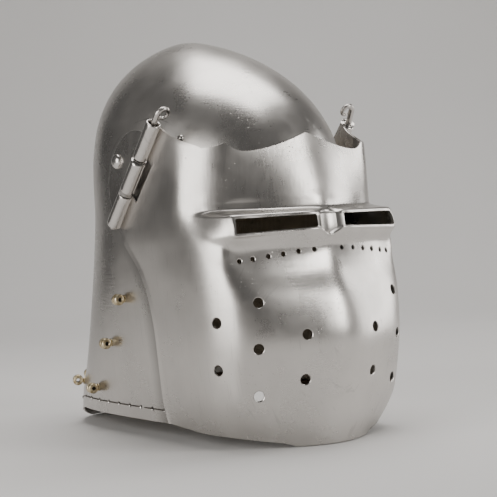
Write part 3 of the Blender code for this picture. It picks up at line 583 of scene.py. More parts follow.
# ---- materials --------------------------------------------------------------------------------------
class Look:
    """A node material built up call by call; each helper returns a socket."""

    def __init__(self, name, roughness=0.5, metallic=0.0):
        self.material = bpy.data.materials.new(name)
        self.material.use_nodes = True
        self.tree = self.material.node_tree
        self.shader = self.tree.nodes["Principled BSDF"]
        self.shader.inputs["Roughness"].default_value = roughness
        self.shader.inputs["Metallic"].default_value = metallic
        self.coords = self.node("ShaderNodeTexCoord").outputs["Object"]

    def node(self, kind, **settings):
        made = self.tree.nodes.new(kind)
        for key, value in settings.items():
            setattr(made, key, value)
        return made

    def plug(self, socket, value):
        if isinstance(value, bpy.types.NodeSocket):
            self.tree.links.new(value, socket)
        else:
            socket.default_value = value

    def stretched(self, scale, turn=(0.0, 0.0, 0.0)):
        mapping = self.node("ShaderNodeMapping")
        mapping.inputs["Scale"].default_value = scale
        mapping.inputs["Rotation"].default_value = [math.radians(a) for a in turn]
        self.plug(mapping.inputs["Vector"], self.coords)
        return mapping.outputs["Vector"]

    def noise(self, scale, detail=3.0, rough=0.5, vector=None, warp=0.0):
        tex = self.node("ShaderNodeTexNoise")
        tex.inputs["Scale"].default_value = scale
        tex.inputs["Detail"].default_value = detail
        tex.inputs["Roughness"].default_value = rough
        tex.inputs["Distortion"].default_value = warp
        self.plug(tex.inputs["Vector"], vector or self.coords)
        return tex.outputs["Fac"]

    def cells(self, scale, vector=None):
        tex = self.node("ShaderNodeTexVoronoi")
        tex.inputs["Scale"].default_value = scale
        self.plug(tex.inputs["Vector"], vector or self.coords)
        return tex.outputs["Distance"]

    def waves(self, scale, direction, vector=None, warp=0.0):
        tex = self.node("ShaderNodeTexWave", wave_type="BANDS", bands_direction=direction)
        tex.inputs["Scale"].default_value = scale
        tex.inputs["Distortion"].default_value = warp
        self.plug(tex.inputs["Vector"], vector or self.coords)
        return tex.outputs["Fac"]

    def span(self, value, low, high, to_low=0.0, to_high=1.0):
        node = self.node("ShaderNodeMapRange", clamp=True)
        limits = {"From Min": low, "From Max": high, "To Min": to_low, "To Max": to_high}
        for socket, number in limits.items():
            node.inputs[socket].default_value = number
        self.plug(node.inputs["Value"], value)
        return node.outputs["Result"]

    def math(self, operation, a, b):
        node = self.node("ShaderNodeMath", operation=operation)
        self.plug(node.inputs[0], a)
        self.plug(node.inputs[1], b)
        return node.outputs[0]

    def colour(self, factor, low, high):
        node = self.node("ShaderNodeMix", data_type="RGBA")
        self.plug(node.inputs["Factor"], factor)
        self.plug(node.inputs["A"], (*low, 1.0) if isinstance(low, tuple) else low)
        self.plug(node.inputs["B"], (*high, 1.0) if isinstance(high, tuple) else high)
        return node.outputs["Result"]

    def bump(self, height, depth, strength=1.0, normal=None):
        node = self.node("ShaderNodeBump")
        node.inputs["Strength"].default_value = strength
        node.inputs["Distance"].default_value = depth
        self.plug(node.inputs["Height"], height)
        if normal is not None:
            self.plug(node.inputs["Normal"], normal)
        return node.outputs["Normal"]

    def finish(self, colour=None, roughness=None, normal=None, metallic=None):
        values = {"Base Color": colour, "Roughness": roughness, "Normal": normal, "Metallic": metallic}
        for name, value in values.items():
            if value is not None:
                self.plug(self.shader.inputs[name], value)
        return self.material


def worn_ring(look):
    """Mask of the thin arc that the lifted visor has rubbed on the skull round each hinge plate."""
    apart = look.node("ShaderNodeSeparateXYZ")
    look.plug(apart.inputs["Vector"], look.coords)
    _, y, z = place(*on_hinge(1, PLATE_CENTRE))
    away_y = look.math("SUBTRACT", apart.outputs["Y"], y)
    away_z = look.math("SUBTRACT", apart.outputs["Z"], z)
    squares = look.math("ADD", look.math("MULTIPLY", away_y, away_y), look.math("MULTIPLY", away_z, away_z))
    off = look.math("ABSOLUTE", look.math("SUBTRACT", look.math("SQRT", squares, 0.0), 0.052), 0.0)
    arc = look.span(off, 0.0002, 0.0006, 1.0, 0.0)
    return look.math("MULTIPLY", arc, look.span(look.noise(60.0), 0.4, 0.6))


def painted_shade_band(look):
    """Mask of the painted shade, a dark band on the skull close behind the visor's rear edge."""
    apart = look.node("ShaderNodeSeparateXYZ")
    look.plug(apart.inputs["Vector"], look.coords)
    _, foot_y, top_z = place(0.0, REAR_EDGE_FOOT_Y, REAR_EDGE_TOP_Z)
    below = look.math("SUBTRACT", top_z, apart.outputs["Z"])
    drop = look.math("DIVIDE", look.math("MAXIMUM", below, 0.0), REAR_EDGE_FALL * MM)
    drop = look.math("POWER", drop, 1.2)
    share = look.math("EXPONENT", look.math("MULTIPLY", drop, -1.0), 0.0)
    reach = look.math("MULTIPLY", share, REAR_EDGE_REACH * MM)
    behind = look.math("SUBTRACT", apart.outputs["Y"], look.math("ADD", reach, foot_y))
    covered = look.span(behind, -14.0 * MM, 0.0)
    band = look.math("MULTIPLY", covered, look.span(behind, 0.0, 16.0 * MM, 1.0, 0.0))
    return look.math("MULTIPLY", band, look.span(below, -2.0 * MM, 24.0 * MM))


def steel(name, tint=(0.66, 0.635, 0.605), dull=0.24, marks=1.0, ring=False):
    """Hand-polished steel: soft patches, fine rubbing marks both ways, and small pits."""
    look = Look(name, metallic=1.0)
    patches = look.noise(16.0, 4.0, 0.55)
    upright = look.noise(1.0, 4.0, 0.6, look.stretched((420.0, 420.0, 26.0)))
    level = look.noise(1.0, 4.0, 0.6, look.stretched((34.0, 34.0, 520.0), (0.0, 8.0, 0.0)))
    which = look.span(look.noise(9.0, 2.0), 0.42, 0.58)
    upright = look.math("MULTIPLY", upright, which)
    level = look.math("MULTIPLY", level, look.math("SUBTRACT", 1.0, which))
    rubbed = look.math("ADD", upright, level)
    slanting = look.stretched((70.0, 900.0, 40.0), (24.0, 0.0, 38.0))
    scratches = look.span(look.noise(1.0, 2.0, 0.5, slanting, 0.4), 0.64, 0.72)
    pits = look.span(look.cells(330.0), 0.05, 0.16, 1.0, 0.0)
    pits = look.math("MULTIPLY", pits, look.span(look.noise(40.0, 2.0), 0.52, 0.66))
    smudge = look.span(look.noise(38.0, 5.0, 0.65, warp=0.8), 0.38, 0.72)
    rough = look.span(patches, 0.3, 0.7, dull - 0.045, dull + 0.05)
    rough = look.math("ADD", rough, look.math("MULTIPLY", rubbed, 0.07))
    rough = look.math("ADD", rough, look.math("MULTIPLY", smudge, 0.05))
    rough = look.math("ADD", rough, look.math("MULTIPLY", pits, 0.25))
    dark = tuple(c * 0.80 for c in tint)
    colour = look.colour(look.span(patches, 0.25, 0.75), dark, tint)
    colour = look.colour(look.math("MULTIPLY", scratches, 0.35), colour, tuple(c * 0.62 for c in tint))
    colour = look.colour(look.math("MULTIPLY", pits, 0.4), colour, (0.12, 0.10, 0.085))
    if ring:
        worn = look.math("MULTIPLY", worn_ring(look), 0.6)
        colour = look.colour(worn, colour, tuple(c * 0.4 for c in tint))
        # painted shade: darkens the skull's colour in a band just behind the visor's rear edge, where the
        # visor shades it
        painted_shade = look.math("MULTIPLY", painted_shade_band(look), 0.8)
        colour = look.colour(painted_shade, colour, tuple(c * 0.30 for c in tint))
    normal = look.bump(rubbed, 0.00012 * marks, 0.5)
    normal = look.bump(look.noise(46.0, 2.0), 0.0011 * marks, 0.10, normal)
    normal = look.bump(pits, -0.0003, 0.5, normal)
    return look.finish(colour, rough, normal)


def brass(name):
    look = Look(name, metallic=1.0)
    stain = look.span(look.noise(320.0, 4.0, 0.6), 0.36, 0.66)
    turned_marks = look.noise(1.0, 2.0, 0.5, look.stretched((700.0, 700.0, 2600.0)))
    colour = look.colour(stain, (0.40, 0.31, 0.17), (0.90, 0.80, 0.58))
    rough = look.span(stain, 0.0, 1.0, 0.42, 0.2)
    rough = look.math("ADD", rough, look.math("MULTIPLY", turned_marks, 0.08))
    normal = look.bump(turned_marks, 0.00015, 0.4)
    normal = look.bump(look.noise(500.0, 3.0), 0.0005, 0.3, normal)
    return look.finish(colour, rough, normal)


def tarnish(name):
    look = Look(name, roughness=0.7, metallic=0.4)
    stain = look.noise(500.0, 3.0)
    colour = look.colour(stain, (0.03, 0.022, 0.012), (0.10, 0.075, 0.04))
    return look.finish(colour, look.span(stain, 0.3, 0.7, 0.8, 0.6), look.bump(stain, 0.0003, 0.4))


def linen(name):
    look = Look(name, roughness=0.9)
    warp_way = look.waves(260.0, "X", warp=0.4)
    weft_way = look.waves(260.0, "Z", warp=0.4)
    weave = look.math("MAXIMUM", warp_way, weft_way)
    slubs = look.noise(1.0, 3.0, 0.6, look.stretched((60.0, 60.0, 900.0)))
    worn = look.noise(22.0, 4.0, 0.6)
    colour = look.colour(worn, (0.40, 0.34, 0.26), (0.60, 0.53, 0.42))
    colour = look.colour(slubs, colour, (0.45, 0.39, 0.30))
    colour = look.colour(look.math("MULTIPLY", weave, 0.45), colour, (0.68, 0.61, 0.49))
    rough = look.span(weave, 0.0, 1.0, 0.96, 0.82)
    normal = look.bump(weave, 0.0005, 0.6)
    normal = look.bump(slubs, 0.0004, 0.3, normal)
    look.shader.inputs["Sheen Weight"].default_value = 0.25
    look.shader.inputs["Sheen Roughness"].default_value = 0.5
    return look.finish(colour, rough, normal)


def leather(name):
    look = Look(name, roughness=0.6)
    grain = look.cells(900.0)
    creases = look.noise(160.0, 5.0, 0.65)
    colour = look.colour(creases, (0.075, 0.043, 0.025), (0.19, 0.115, 0.065))
    rough = look.span(creases, 0.3, 0.7, 0.7, 0.48)
    normal = look.bump(grain, 0.0003, 0.45)
    normal = look.bump(creases, 0.0006, 0.35, normal)
    return look.finish(colour, rough, normal)


def thread(name):
    look = Look(name, roughness=0.65)
    ply = look.waves(620.0, "DIAGONAL", warp=0.2)
    colour = look.colour(ply, (0.018, 0.015, 0.012), (0.085, 0.07, 0.055))
    return look.finish(colour, look.span(ply, 0.0, 1.0, 0.75, 0.5), look.bump(ply, 0.0003, 0.7))


# ---- pieces -------------------------------------------------------------------------------------------
def finish_piece(obj, body, slot, material, *nodes):
    obj.data.materials.clear()
    obj.data.materials.append(material)
    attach(obj, body)
    if nodes:
        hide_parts(*nodes)
    return obj


def dome_rows():
    """Heights of the skull's rings over the dome, evenly spaced along its curve."""
    h = np.concatenate((np.linspace(0.0, 0.97, 1500), 1 - np.geomspace(0.03, 1e-5, 800)))
    z = h * APEX_Z
    reach = 115.0 * dome_size(z)
    travelled = np.concatenate(((0.0,), np.cumsum(np.hypot(np.diff(z), np.diff(reach)))))
    keep = reach > 3.0
    steps = np.arange(0.0, travelled[keep][-1], 2.4)
    return np.interp(steps, travelled, z), np.interp(steps, travelled, reach)


def skull_grid(sides, depth=0.0, bottom=None, spacing=1):
    """Rings of points of the skull from the crown down to bottom(y)."""
    angles = 2 * math.pi * np.arange(sides) / sides
    dome_z, dome_reach = dome_rows()
    dome_z, dome_reach = dome_z[::-spacing], dome_reach[::-spacing]
    rings = []
    cap = 14.0
    rim = np.interp(cap, dome_reach, dome_z)
    fall = (np.interp(cap, dome_reach, dome_z) - np.interp(cap + 1.0, dome_reach, dome_z)) / 1.0
    for z, reach in zip(dome_z, dome_reach):
        ring = skull_at(angles, z)
        if reach < cap:
            ring[:, 2] = rim + fall * (cap * cap - reach * reach) / (2 * cap)
        rings.append(ring)
    for z in np.arange(-2.4, -135.0, -2.4 * spacing):
        rings.append(skull_at(angles, z))
    low_y = skull_at(angles, -170.0)[:, 1]
    bottoms = bottom(low_y)
    for share in np.linspace(0.0, 1.0, 22 // spacing)[1:]:
        rings.append(skull_at(angles, -134.0 * (1 - share) + bottoms * share))
    outer = np.array(rings)
    crown = np.array((0.0, outer[0, :, 1].mean(), rim + fall * cap / 2))
    normals = grid_normals(outer, closed=True)
    middle = len(rings) // 2
    outward = np.sum(normals[middle] * (outer[middle] - (0, SKULL_CENTRE_Y, 0)), axis=-1).mean()
    normals *= math.copysign(1.0, outward)
    return outer - depth * normals, normals, crown - (0, 0, depth)


def rim_walk(spacing, margin):
    angles = np.linspace(0.2, 2 * math.pi - 0.2, 1200)
    points = skull_at(angles, -165.0)
    keep = points[:, 1] > OPENING_SIDE_Y + margin
    angles, points = angles[keep], points[keep]
    travelled = np.concatenate(((0.0,), np.cumsum(np.linalg.norm(np.diff(points, axis=0), axis=1))))
    count = int(round(travelled[-1] / spacing)) + 1
    return np.interp(np.linspace(0.0, travelled[-1], count), travelled, angles)


def stitch_places(margin=14.0):
    angles = rim_walk(STITCH_PITCH, margin)
    return [(angle, rim_z(skull_at(angle, -165.0)[1]) + STITCH_UP) for angle in angles]


def stand_frame(angle, z):
    return frame_at(skull_at(angle, z), skull_normal(angle, z))


def on_hinge(side, along, behind=0.0, x=HINGE_X):
    y = HINGE_BOTTOM[0] + HINGE_UP[0] * along + HINGE_BACK[0] * behind
    z = HINGE_BOTTOM[1] + HINGE_UP[1] * along + HINGE_BACK[1] * behind
    return np.array((side * x, y, z))


HINGE_SPAN = math.dist(HINGE_BOTTOM, HINGE_TOP)
HINGE_UP = ((HINGE_TOP[0] - HINGE_BOTTOM[0]) / HINGE_SPAN, (HINGE_TOP[1] - HINGE_BOTTOM[1]) / HINGE_SPAN)
HINGE_BACK = (HINGE_UP[1], -HINGE_UP[0])


def plate_x(behind):
    """Inner face of the hinge plate, which leans in towards the skull behind the hinge."""
    share = max(behind - PLATE_INSET, 0.0) / (PLATE_RADIUS - PLATE_INSET)
    return PLATE_X + 0.3 - PLATE_BEND * share * share


def pivot_frame(side):
    spot = on_hinge(side, PIVOT_ALONG, PIVOT_BEHIND, plate_x(PIVOT_BEHIND))
    return frame_at(spot, (side, 0.0, 0.0))


def vervelle_places():
    """Name, angle and height of each vervelle, round the nape."""
    row = [(angle_at(-1, y, z), z) for y, z in VERVELLES]
    row.append((-math.pi, VERVELLES[-1][1]))
    row += [(-2 * math.pi - angle, z) for angle, z in row[-2::-1]]
    count = len(VERVELLES)
    names = [f"vervelle_right_{i + 1}" for i in range(count)] + ["vervelle_nape"]
    names += [f"vervelle_left_{count - i}" for i in range(count)]
    return [(name, *spot) for name, spot in zip(names, row)]


def opening_prism(grow=0.0):
    """Cutter for the face opening, with a smooth arch at the brow."""
    side, brow = OPENING_SIDE_Y + grow, OPENING_BROW_Z + grow
    outline = [(-120.0, -260.0), (side, -260.0)]
    for step in range(25):
        turn = math.radians(90.0 * step / 24)
        y = side - OPENING_CORNER * (1 - math.cos(turn))
        outline.append((y, brow - OPENING_CORNER * (1 - math.sin(turn))))
    outline.append((-120.0, brow))
    bm = bmesh.new()
    ends = [[bm.verts.new(place(x, y, z)) for y, z in outline] for x in (-150.0, 150.0)]
    bm.faces.new(ends[0])
    bm.faces.new(ends[1][::-1])
    for i in range(len(outline)):
        after = (i + 1) % len(outline)
        bm.faces.new((ends[0][i], ends[1][i], ends[1][after], ends[0][after]))
    return bm


def make_skull(looks):
    outer, normals, crown = skull_grid(240, bottom=lambda y: rim_z(y) + 0.8)
    inner = outer - SHEET * normals
    crowns = placed([crown, crown - (0, 0, SHEET)])
    mesh = slab("skull_shell", placed(outer), placed(inner), closed=True, crown=crowns)
    face_out(mesh)
    source = mesh.copy()
    skull = add_object("skull_shell", mesh)
    cut(skull, opening_prism())
    bm = bmesh.new()
    for angle, z in stitch_places():
        revolve(bm, stand_frame(angle, z), hole_profile(STITCH_HOLE), 16)
    for _, angle, z in vervelle_places():
        revolve(bm, stand_frame(angle, z), hole_profile(1.8), 12)
    for side in (-1, 1):
        revolve(bm, stand_frame(angle_at(side, *STUD), STUD[1]), hole_profile(1.8), 12)
        revolve(bm, pivot_frame(side), [(0, 6.0), (3.4, 6.0), (3.4, -12.0), (0, -12.0)], 24)
    cut(skull, bm)
    polish(skull, source)
    bpy.data.meshes.remove(source)
    return finish_piece(skull, "helmet", "polished_steel", looks["skull_steel"], "skull")


def visor_columns_and_rows():
    top = brow_z(LINES) - 0.8
    low = chin_z(LINES) + 0.8
    rows = [44.0 + (top - 44.0) * share for share in np.linspace(1.0, 0.0, 17)[:-1] ** 0.9]
    spans = ((44.0, 12.0, -1.5), (12.5, -36.0, -0.75), (-36.25, -150.0, -1.5))
    heights = np.concatenate([np.arange(*span) for span in spans])
    rows += [np.full(len(LINES), z) for z in heights]
    rows += [-150.5 + (low + 150.5) * share for share in np.linspace(0.0, 1.0, 25)]
    return np.array(rows)


def sight_prism(bm, side):
    """Cutter for one sight, with small round corners, square to its sloping front."""
    (ix, iz), (jx, jz) = SIGHT_INNER
    (ox, oz), (px, pz) = SIGHT_OUTER
    corners = [np.array(c) for c in ((ix, iz), (ox, oz), (px, pz), (jx, jz))]
    outline = []
    for i, corner in enumerate(corners):
        before = corners[i - 1] - corner
        after = corners[(i + 1) % 4] - corner
        before, after = before / np.linalg.norm(before), after / np.linalg.norm(after)
        for share in np.linspace(0.0, 1.0, 5):
            start, end = corner + before * SIGHT_CORNER, corner + after * SIGHT_CORNER
            curve = start * (1 - share) ** 2 + 2 * corner * share * (1 - share) + end * share**2
            outline.append(curve)
    slope, inner_end = SIGHT_SLOPE, VISOR_LINES[1]
    ends = []
    for reach in (-13.0, 9.0):
        rim = [(side * (x - slope * reach), slope * (x - inner_end) + reach, z) for x, z in outline]
        ends.append([bm.verts.new(place(*point)) for point in rim])
    bm.faces.new(ends[0])
    bm.faces.new(ends[1][::-1])
    count = len(outline)
    for i in range(count):
        after = (i + 1) % count
        bm.faces.new((ends[0][i], ends[1][i], ends[1][after], ends[0][after]))


def make_visor(looks):
    table = visor_table()
    z = visor_columns_and_rows()
    columns = np.broadcast_to(np.arange(len(LINES)), z.shape)
    base = visor_base(table, columns, z)
    normals = grid_normals(base)
    middle = normals[len(z) // 2, len(LINES) // 2]
    normals *= math.copysign(1.0, -middle[1])
    soft = blurred(blurred(normals, 1.5, 0), 1.5, 1)
    soft /= np.linalg.norm(soft, axis=-1, keepdims=True)
    below_edge = brow_z(LINES)[None, :] - z
    turned = 0.55 * np.exp(-((below_edge / 2.2) ** 2)) * smooth_step(99.0, 112.0, np.abs(LINES))[None, :]
    from_rear = (LINES[-1] - np.abs(LINES))[None, :]
    turned = np.maximum(turned, 0.9 * np.exp(-((from_rear / 2.6) ** 2)) * smooth_step(10.0, 20.0, -z))
    outer = base + (visor_relief(base) + turned)[..., None] * normals
    inner = base - SHEET * soft
    mesh = slab("visor_shell", placed(outer), placed(inner))
    face_out(mesh)
    source = mesh.copy()
    visor = add_object("visor_shell", mesh)
    bm = bmesh.new()

    def drill(x, height, radius, sides):
        row = int(np.argmin(np.abs(z[:, len(LINES) // 2] - height)))
        column = int(np.argmin(np.abs(outer[row, :, 0] - x)))
        spot = np.array((x, np.interp(x, outer[row, :, 0], outer[row, :, 1]), height))
        revolve(bm, frame_at(spot, soft[row, column]), hole_profile(radius), sides)

    for side in (-1, 1):
        sight_prism(bm, side)
        for x, height in SMALL_HOLES:
            drill(side * x, height, SMALL_HOLE_RADIUS, 20)
        for line, height in BREATHS:
            row = int(np.argmin(np.abs(z[:, len(LINES) // 2] - height)))
            column = np.interp(side * line, LINES, np.arange(len(LINES)))
            spots = [np.interp(column, np.arange(len(LINES)), outer[row, :, k]) for k in range(3)]
            revolve(bm, frame_at(spots, soft[row, int(round(column))]), hole_profile(BREATH_RADIUS), 32)
        low, high = KNUCKLE_SPLITS[1] * HINGE_SPAN, KNUCKLE_SPLITS[2] * HINGE_SPAN
        middle_of = frame_at(on_hinge(side, (low + high) / 2), (0.0, *HINGE_UP), side=(1.0, 0.0, 0.0))
        middle_of @= Matrix.Translation(((NOTCH_FRONT - PLATE_INSET) / 2 * MM, 0.0, 0.0))
        size = (PLATE_INSET + NOTCH_FRONT, 34.0, high - low + 2 * GAP)
        scaled = Matrix.Diagonal((*(v * MM for v in size), 1.0))
        bmesh.ops.create_cube(bm, size=1.0, matrix=middle_of @ scaled)
    cut(visor, bm)
    polish(visor, source)
    bpy.data.meshes.remove(source)
    return finish_piece(visor, "visor", "polished_steel", looks["steel"], "visor")


def rolled_knuckle(name, side, low, high, lead, way):
    """A barrel rolled from the edge of a sheet; way is 1 if the sheet lies in front."""
    turns = np.linspace(0.0, math.radians(332.0), 72)
    thin = KNUCKLE_RADIUS - KNUCKLE_WALL
    outer = [(KNUCKLE_RADIUS - 0.05, -way * lead)]
    inner = [(thin + 0.05, -way * lead)]
    for turn in turns:
        outer.append((KNUCKLE_RADIUS * math.cos(turn), way * KNUCKLE_RADIUS * math.sin(turn)))
        inner.append((thin * math.cos(turn), way * thin * math.sin(turn)))
    lengths = np.linspace(low + 0.8, high - 0.8, 8)

    def layer(section):
        row = [(behind, HINGE_X - inboard) for inboard, behind in section]
        return np.array([[on_hinge(side, along, behind, x) for behind, x in row] for along in lengths])

    mesh = slab(name, placed(layer(outer)), placed(layer(inner)))
    face_out(mesh)
    return add_object(name, mesh)


def make_hinges(looks):
    low, high = KNUCKLE_SPLITS[1] * HINGE_SPAN, KNUCKLE_SPLITS[2] * HINGE_SPAN
    for side, word in ((-1, "right"), (1, "left")):
        for index in (0, 2):
            start, end = KNUCKLE_SPLITS[index] * HINGE_SPAN, KNUCKLE_SPLITS[index + 1] * HINGE_SPAN
            place_word = "low" if index == 0 else "high"
            barrel = rolled_knuckle(f"visor_barrel_{word}_{place_word}", side, start, end, 2.0, 1)
            finish_piece(barrel, "visor", "polished_steel", looks["bright_steel"])
        barrel = rolled_knuckle(f"plate_barrel_{word}", side, low + GAP, high - GAP, 9.0, -1)
        finish_piece(barrel, "visor", "polished_steel", looks["bright_steel"])
        make_plate(side, word, looks)
        make_pin(side, word, looks)


def make_plate(side, word, looks):
    """The D-shaped plate, leaning in towards the skull behind the hinge."""
    edge = math.asin(PLATE_INSET / PLATE_RADIUS) + 0.05
    turns = np.linspace(edge, math.pi - edge, 81)
    span = PLATE_RADIUS * math.cos(edge)
    outer, inner = [], []
    for share in np.linspace(0.0, 1.0, 15):
        top, bottom = [], []
        for turn in turns:
            along = PLATE_CENTRE - (span * (1 - share) + PLATE_RADIUS * share) * math.cos(turn)
            behind = PLATE_INSET * (1 - share) + PLATE_RADIUS * math.sin(turn) * share
            low = plate_x(behind)
            top.append(on_hinge(side, along, behind, low + PLATE_THICK - 0.1))
            bottom.append(on_hinge(side, along, behind, low))
        outer.append(top)
        inner.append(bottom)
    mesh = slab(f"plate_{word}", placed(outer), placed(inner))
    face_out(mesh)
    source = mesh.copy()
    plate = add_object(f"hinge_leaf_{word}", mesh)
    bm = bmesh.new()
    revolve(bm, pivot_frame(side), [(0, 5.0), (3.3, 5.0), (3.3, -4.0), (0, -4.0)], 24)
    cut(plate, bm)
    polish(plate, source)
    bpy.data.meshes.remove(source)
    finish_piece(plate, "visor", "polished_steel", looks["plate_steel"], f"hinge_plate_{word}")


def wire(name, points, radii):
    """A round wire as a smooth curve of points in the face frame, each with its own radius."""
    curve = bpy.data.curves.new(name, "CURVE")
    curve.dimensions = "3D"
    curve.bevel_depth = MM
    curve.bevel_resolution = 7
    curve.use_fill_caps = True
    spline = curve.splines.new("POLY")
    spline.points.add(len(points) - 1)
    for target, point, radius in zip(spline.points, points, radii):
        target.co = (*place(*point), 1.0)
        target.radius = radius
    obj = bpy.data.objects.new(name, curve)
    bpy.context.scene.collection.objects.link(obj)
    return obj


def make_pin(side, word, looks):
    """Round pin with a scrolled, tapering head."""
    stem, lean = PIN_STEMS[word] - PIN_DROP, PIN_LEANS[word]
    points = []
    for along in np.linspace(-PIN_DROP, stem, 40):
        above = max(along - HINGE_SPAN, 0.0)
        bent = above * above / (above + 2.0) if above > 0 else 0.0
        points.append(on_hinge(side, along, x=HINGE_X - lean * bent))
    radii = [PIN_RADIUS] * len(points)
    up = np.array((-side * lean, *HINGE_UP)) / math.hypot(1.0, lean)
    inboard = np.array((-side, -lean * HINGE_UP[0], -lean * HINGE_UP[1])) / math.hypot(1.0, lean)
    centre = points[-1] + inboard * SCROLL_RADIUS
    steps = 60
    for step in range(1, steps + 1):
        share = step / steps
        turn = 2 * math.pi * SCROLL_TURNS * share
        radius = SCROLL_RADIUS * (1 - 0.36 * share)
        points.append(centre - inboard * radius * math.cos(turn) + up * radius * math.sin(turn))
        radii.append(PIN_RADIUS * (1 - 0.55 * share))
    first, last = points[0], points[-1]
    points = [first - up * 0.9, first - up * 0.6] + points + [last + (last - points[-2]) * 1.2]
    radii = [PIN_RADIUS * 0.55, PIN_RADIUS * 0.85] + radii + [radii[-1] * 0.45]
    pin = wire(f"pin_{word}", points, radii)
    finish_piece(pin, f"pin_{word}", "pin_steel", looks["pin_steel"], f"hinge_pin_{word}")


def rivet(name, matrix, head, height, shank, length, peen):
    """Hammered dome on a shank, with its tail spread over the inside."""
    dome = [(head * math.sin(t), height * math.cos(t)) for t in np.linspace(0.0, math.radians(88.0), 12)]
    tail = [(head * 0.96, -0.15), (shank, -0.2), (shank, -length)]
    tail += [(peen, -length - 0.1), (peen * 0.9, -length - 0.6)]
    tail += [(peen * 0.5, -length - 1.0), (0.0, -length - 1.1)]
    bm = bmesh.new()
    revolve(bm, matrix, dome + tail, 32)
    for vert in bm.verts:
        away = (vert.co - matrix.translation).normalized()
        vert.co += away * 0.16 * MM * noise.noise(vert.co * 420.0)
    return add_object(name, closed_mesh(name, bm, 50.0))


def make_rivets(looks):
    for side, word in ((-1, "right"), (1, "left")):
        seat = pivot_frame(side) @ Matrix.Translation((0, 0, (PLATE_THICK + 0.2) * MM))
        inside = skull_inner_x() - plate_x(PIVOT_BEHIND)
        length = PLATE_THICK + 0.2 - (inside - GAP - 1.0 - GAP)
        piece = rivet(f"pivot_{word}", seat, 6.3, 4.0, 2.9, length, 5.0)
        finish_piece(piece, "helmet", "polished_steel", looks["bright_steel"], f"pivot_rivet_{word}")
        bm = bmesh.new()
        top = inside - GAP
        rounded = [(6.7, top), (7.0, top - 0.2), (7.0, top - 0.8), (6.7, top - 1.0)]
        ring = [(3.5, top), *rounded, (3.5, top - 1.0)]
        revolve(bm, pivot_frame(side), ring, 32, ring=True)
        washer = add_object(f"washer_{word}", closed_mesh(f"washer_{word}", bm))
        finish_piece(washer, "helmet", "pin_steel", looks["pin_steel"], f"pivot_washer_{word}")
        frame_there = stand_frame(angle_at(side, *STUD), STUD[1])
        proud = frame_there @ Matrix.Translation((0, 0, 0.3 * MM))
        stud = rivet(f"stud_{word}", proud, 2.9, 1.9, 1.5, SHEET + 1.2, 2.4)
        finish_piece(stud, "helmet", "polished_steel", looks["bright_steel"], f"lining_rivet_{word}")


def skull_inner_x():
    _, y, z = on_hinge(1, PIVOT_ALONG, PIVOT_BEHIND)
    reach = [skull_in(angle_at(1, y + step, z + 7.0), z + 7.0, SHEET)[0] for step in (-7.0, 7.0)]
    return min(reach)


def make_vervelles(looks):
    """Turned brass beads, bored level along the skull, each on a stem with a collar."""
    half = BEAD_HALF_LENGTH
    bead_side = [(BEAD_BORE + 0.35, half), (3.3, half), (4.1, half - 0.35), (BEAD_RADIUS, half - 1.2)]
    bead_side += [(BEAD_RADIUS, 0.75), (BEAD_RADIUS - 0.3, 0.45)]
    lower = [(radius, -height) for radius, height in bead_side[::-1]]
    bead_profile = [(BEAD_BORE, half - 0.4)] + bead_side + lower + [(BEAD_BORE, -half + 0.4)]
    for name, angle, z in vervelle_places():
        seat = stand_frame(angle, z)
        outward = skull_normal(angle, z)
        bore = np.cross((0.0, 0.0, 1.0), outward)
        bead = frame_at(skull_at(angle, z) + outward * BEAD_STAND, bore, side=outward)
        bm = bmesh.new()
        revolve(bm, bead, bead_profile, 28, ring=True)
        stem = [(0, BEAD_STAND - 3.0), (1.9, BEAD_STAND - 3.0), (1.7, 1.9), (2.2, 1.5)]
        stem += [(3.2, 1.2), (3.4, 0.7), (3.3, 0.15), (1.6, 0.1)]
        stem += [(1.6, -SHEET - 0.3), (2.6, -SHEET - 0.35), (2.3, -SHEET - 1.2), (0, -SHEET - 1.5)]
        revolve(bm, seat, stem, 20)
        for vert in bm.verts:
            vert.co += filing_marks(vert.co)
        mesh = closed_mesh(name, bm, 38.0)
        finish_piece(add_object(f"stud_{name}", mesh), "helmet", "brass", looks["brass"], name)
        mesh.materials.append(looks["tarnish"])
        origin, axis = bead.translation, bead.col[2].xyz
        for face in mesh.polygons:
            away = face.center - origin
            off_axis = (away - axis * away.dot(axis)).length
            face.material_index = int(off_axis < (BEAD_BORE + 0.15) * MM)


def filing_marks(co):
    """Small unevenness of hand-filed brass."""
    return Vector([0.09 * MM * noise.noise(co * 300.0 + Vector((7.0 * k, 0, 0))) for k in range(3)])


def make_lining(looks):
    """Stuffed and quilted cap, inflated by a cloth simulation, then sewn into channels."""
    outer, normals, crown = skull_grid(96, bottom=lambda y: rim_z(y) + LINING_UP + 1.0, spacing=2)
    start = LINING_DEPTH + 0.8
    deep = start + LINING_THICK - 1.6
    crowns = placed([crown - (0, 0, start), crown - (0, 0, deep)])
    sides = [placed(outer - depth * normals) for depth in (start, deep)]
    mesh = slab("padded_lining", *sides, closed=True, crown=crowns)
    face_out(mesh)
    lining = add_object("padded_lining", mesh)
    cut(lining, opening_prism(5.0))
    remesh = lining.modifiers.new("Even", "REMESH")
    remesh.mode = "VOXEL"
    remesh.voxel_size = 3.6 * MM
    remesh.use_smooth_shade = True
    apply_modifiers(lining)
    swell(lining, 1.6 * MM)
    sew_channels(lining)
    subdivide = lining.modifiers.new("Soft", "SUBSURF")
    subdivide.levels = subdivide.render_levels = 1
    apply_modifiers(lining)
    lining.data.shade_smooth()
    finish_piece(lining, "helmet", "quilted_linen", looks["linen"], "lining")


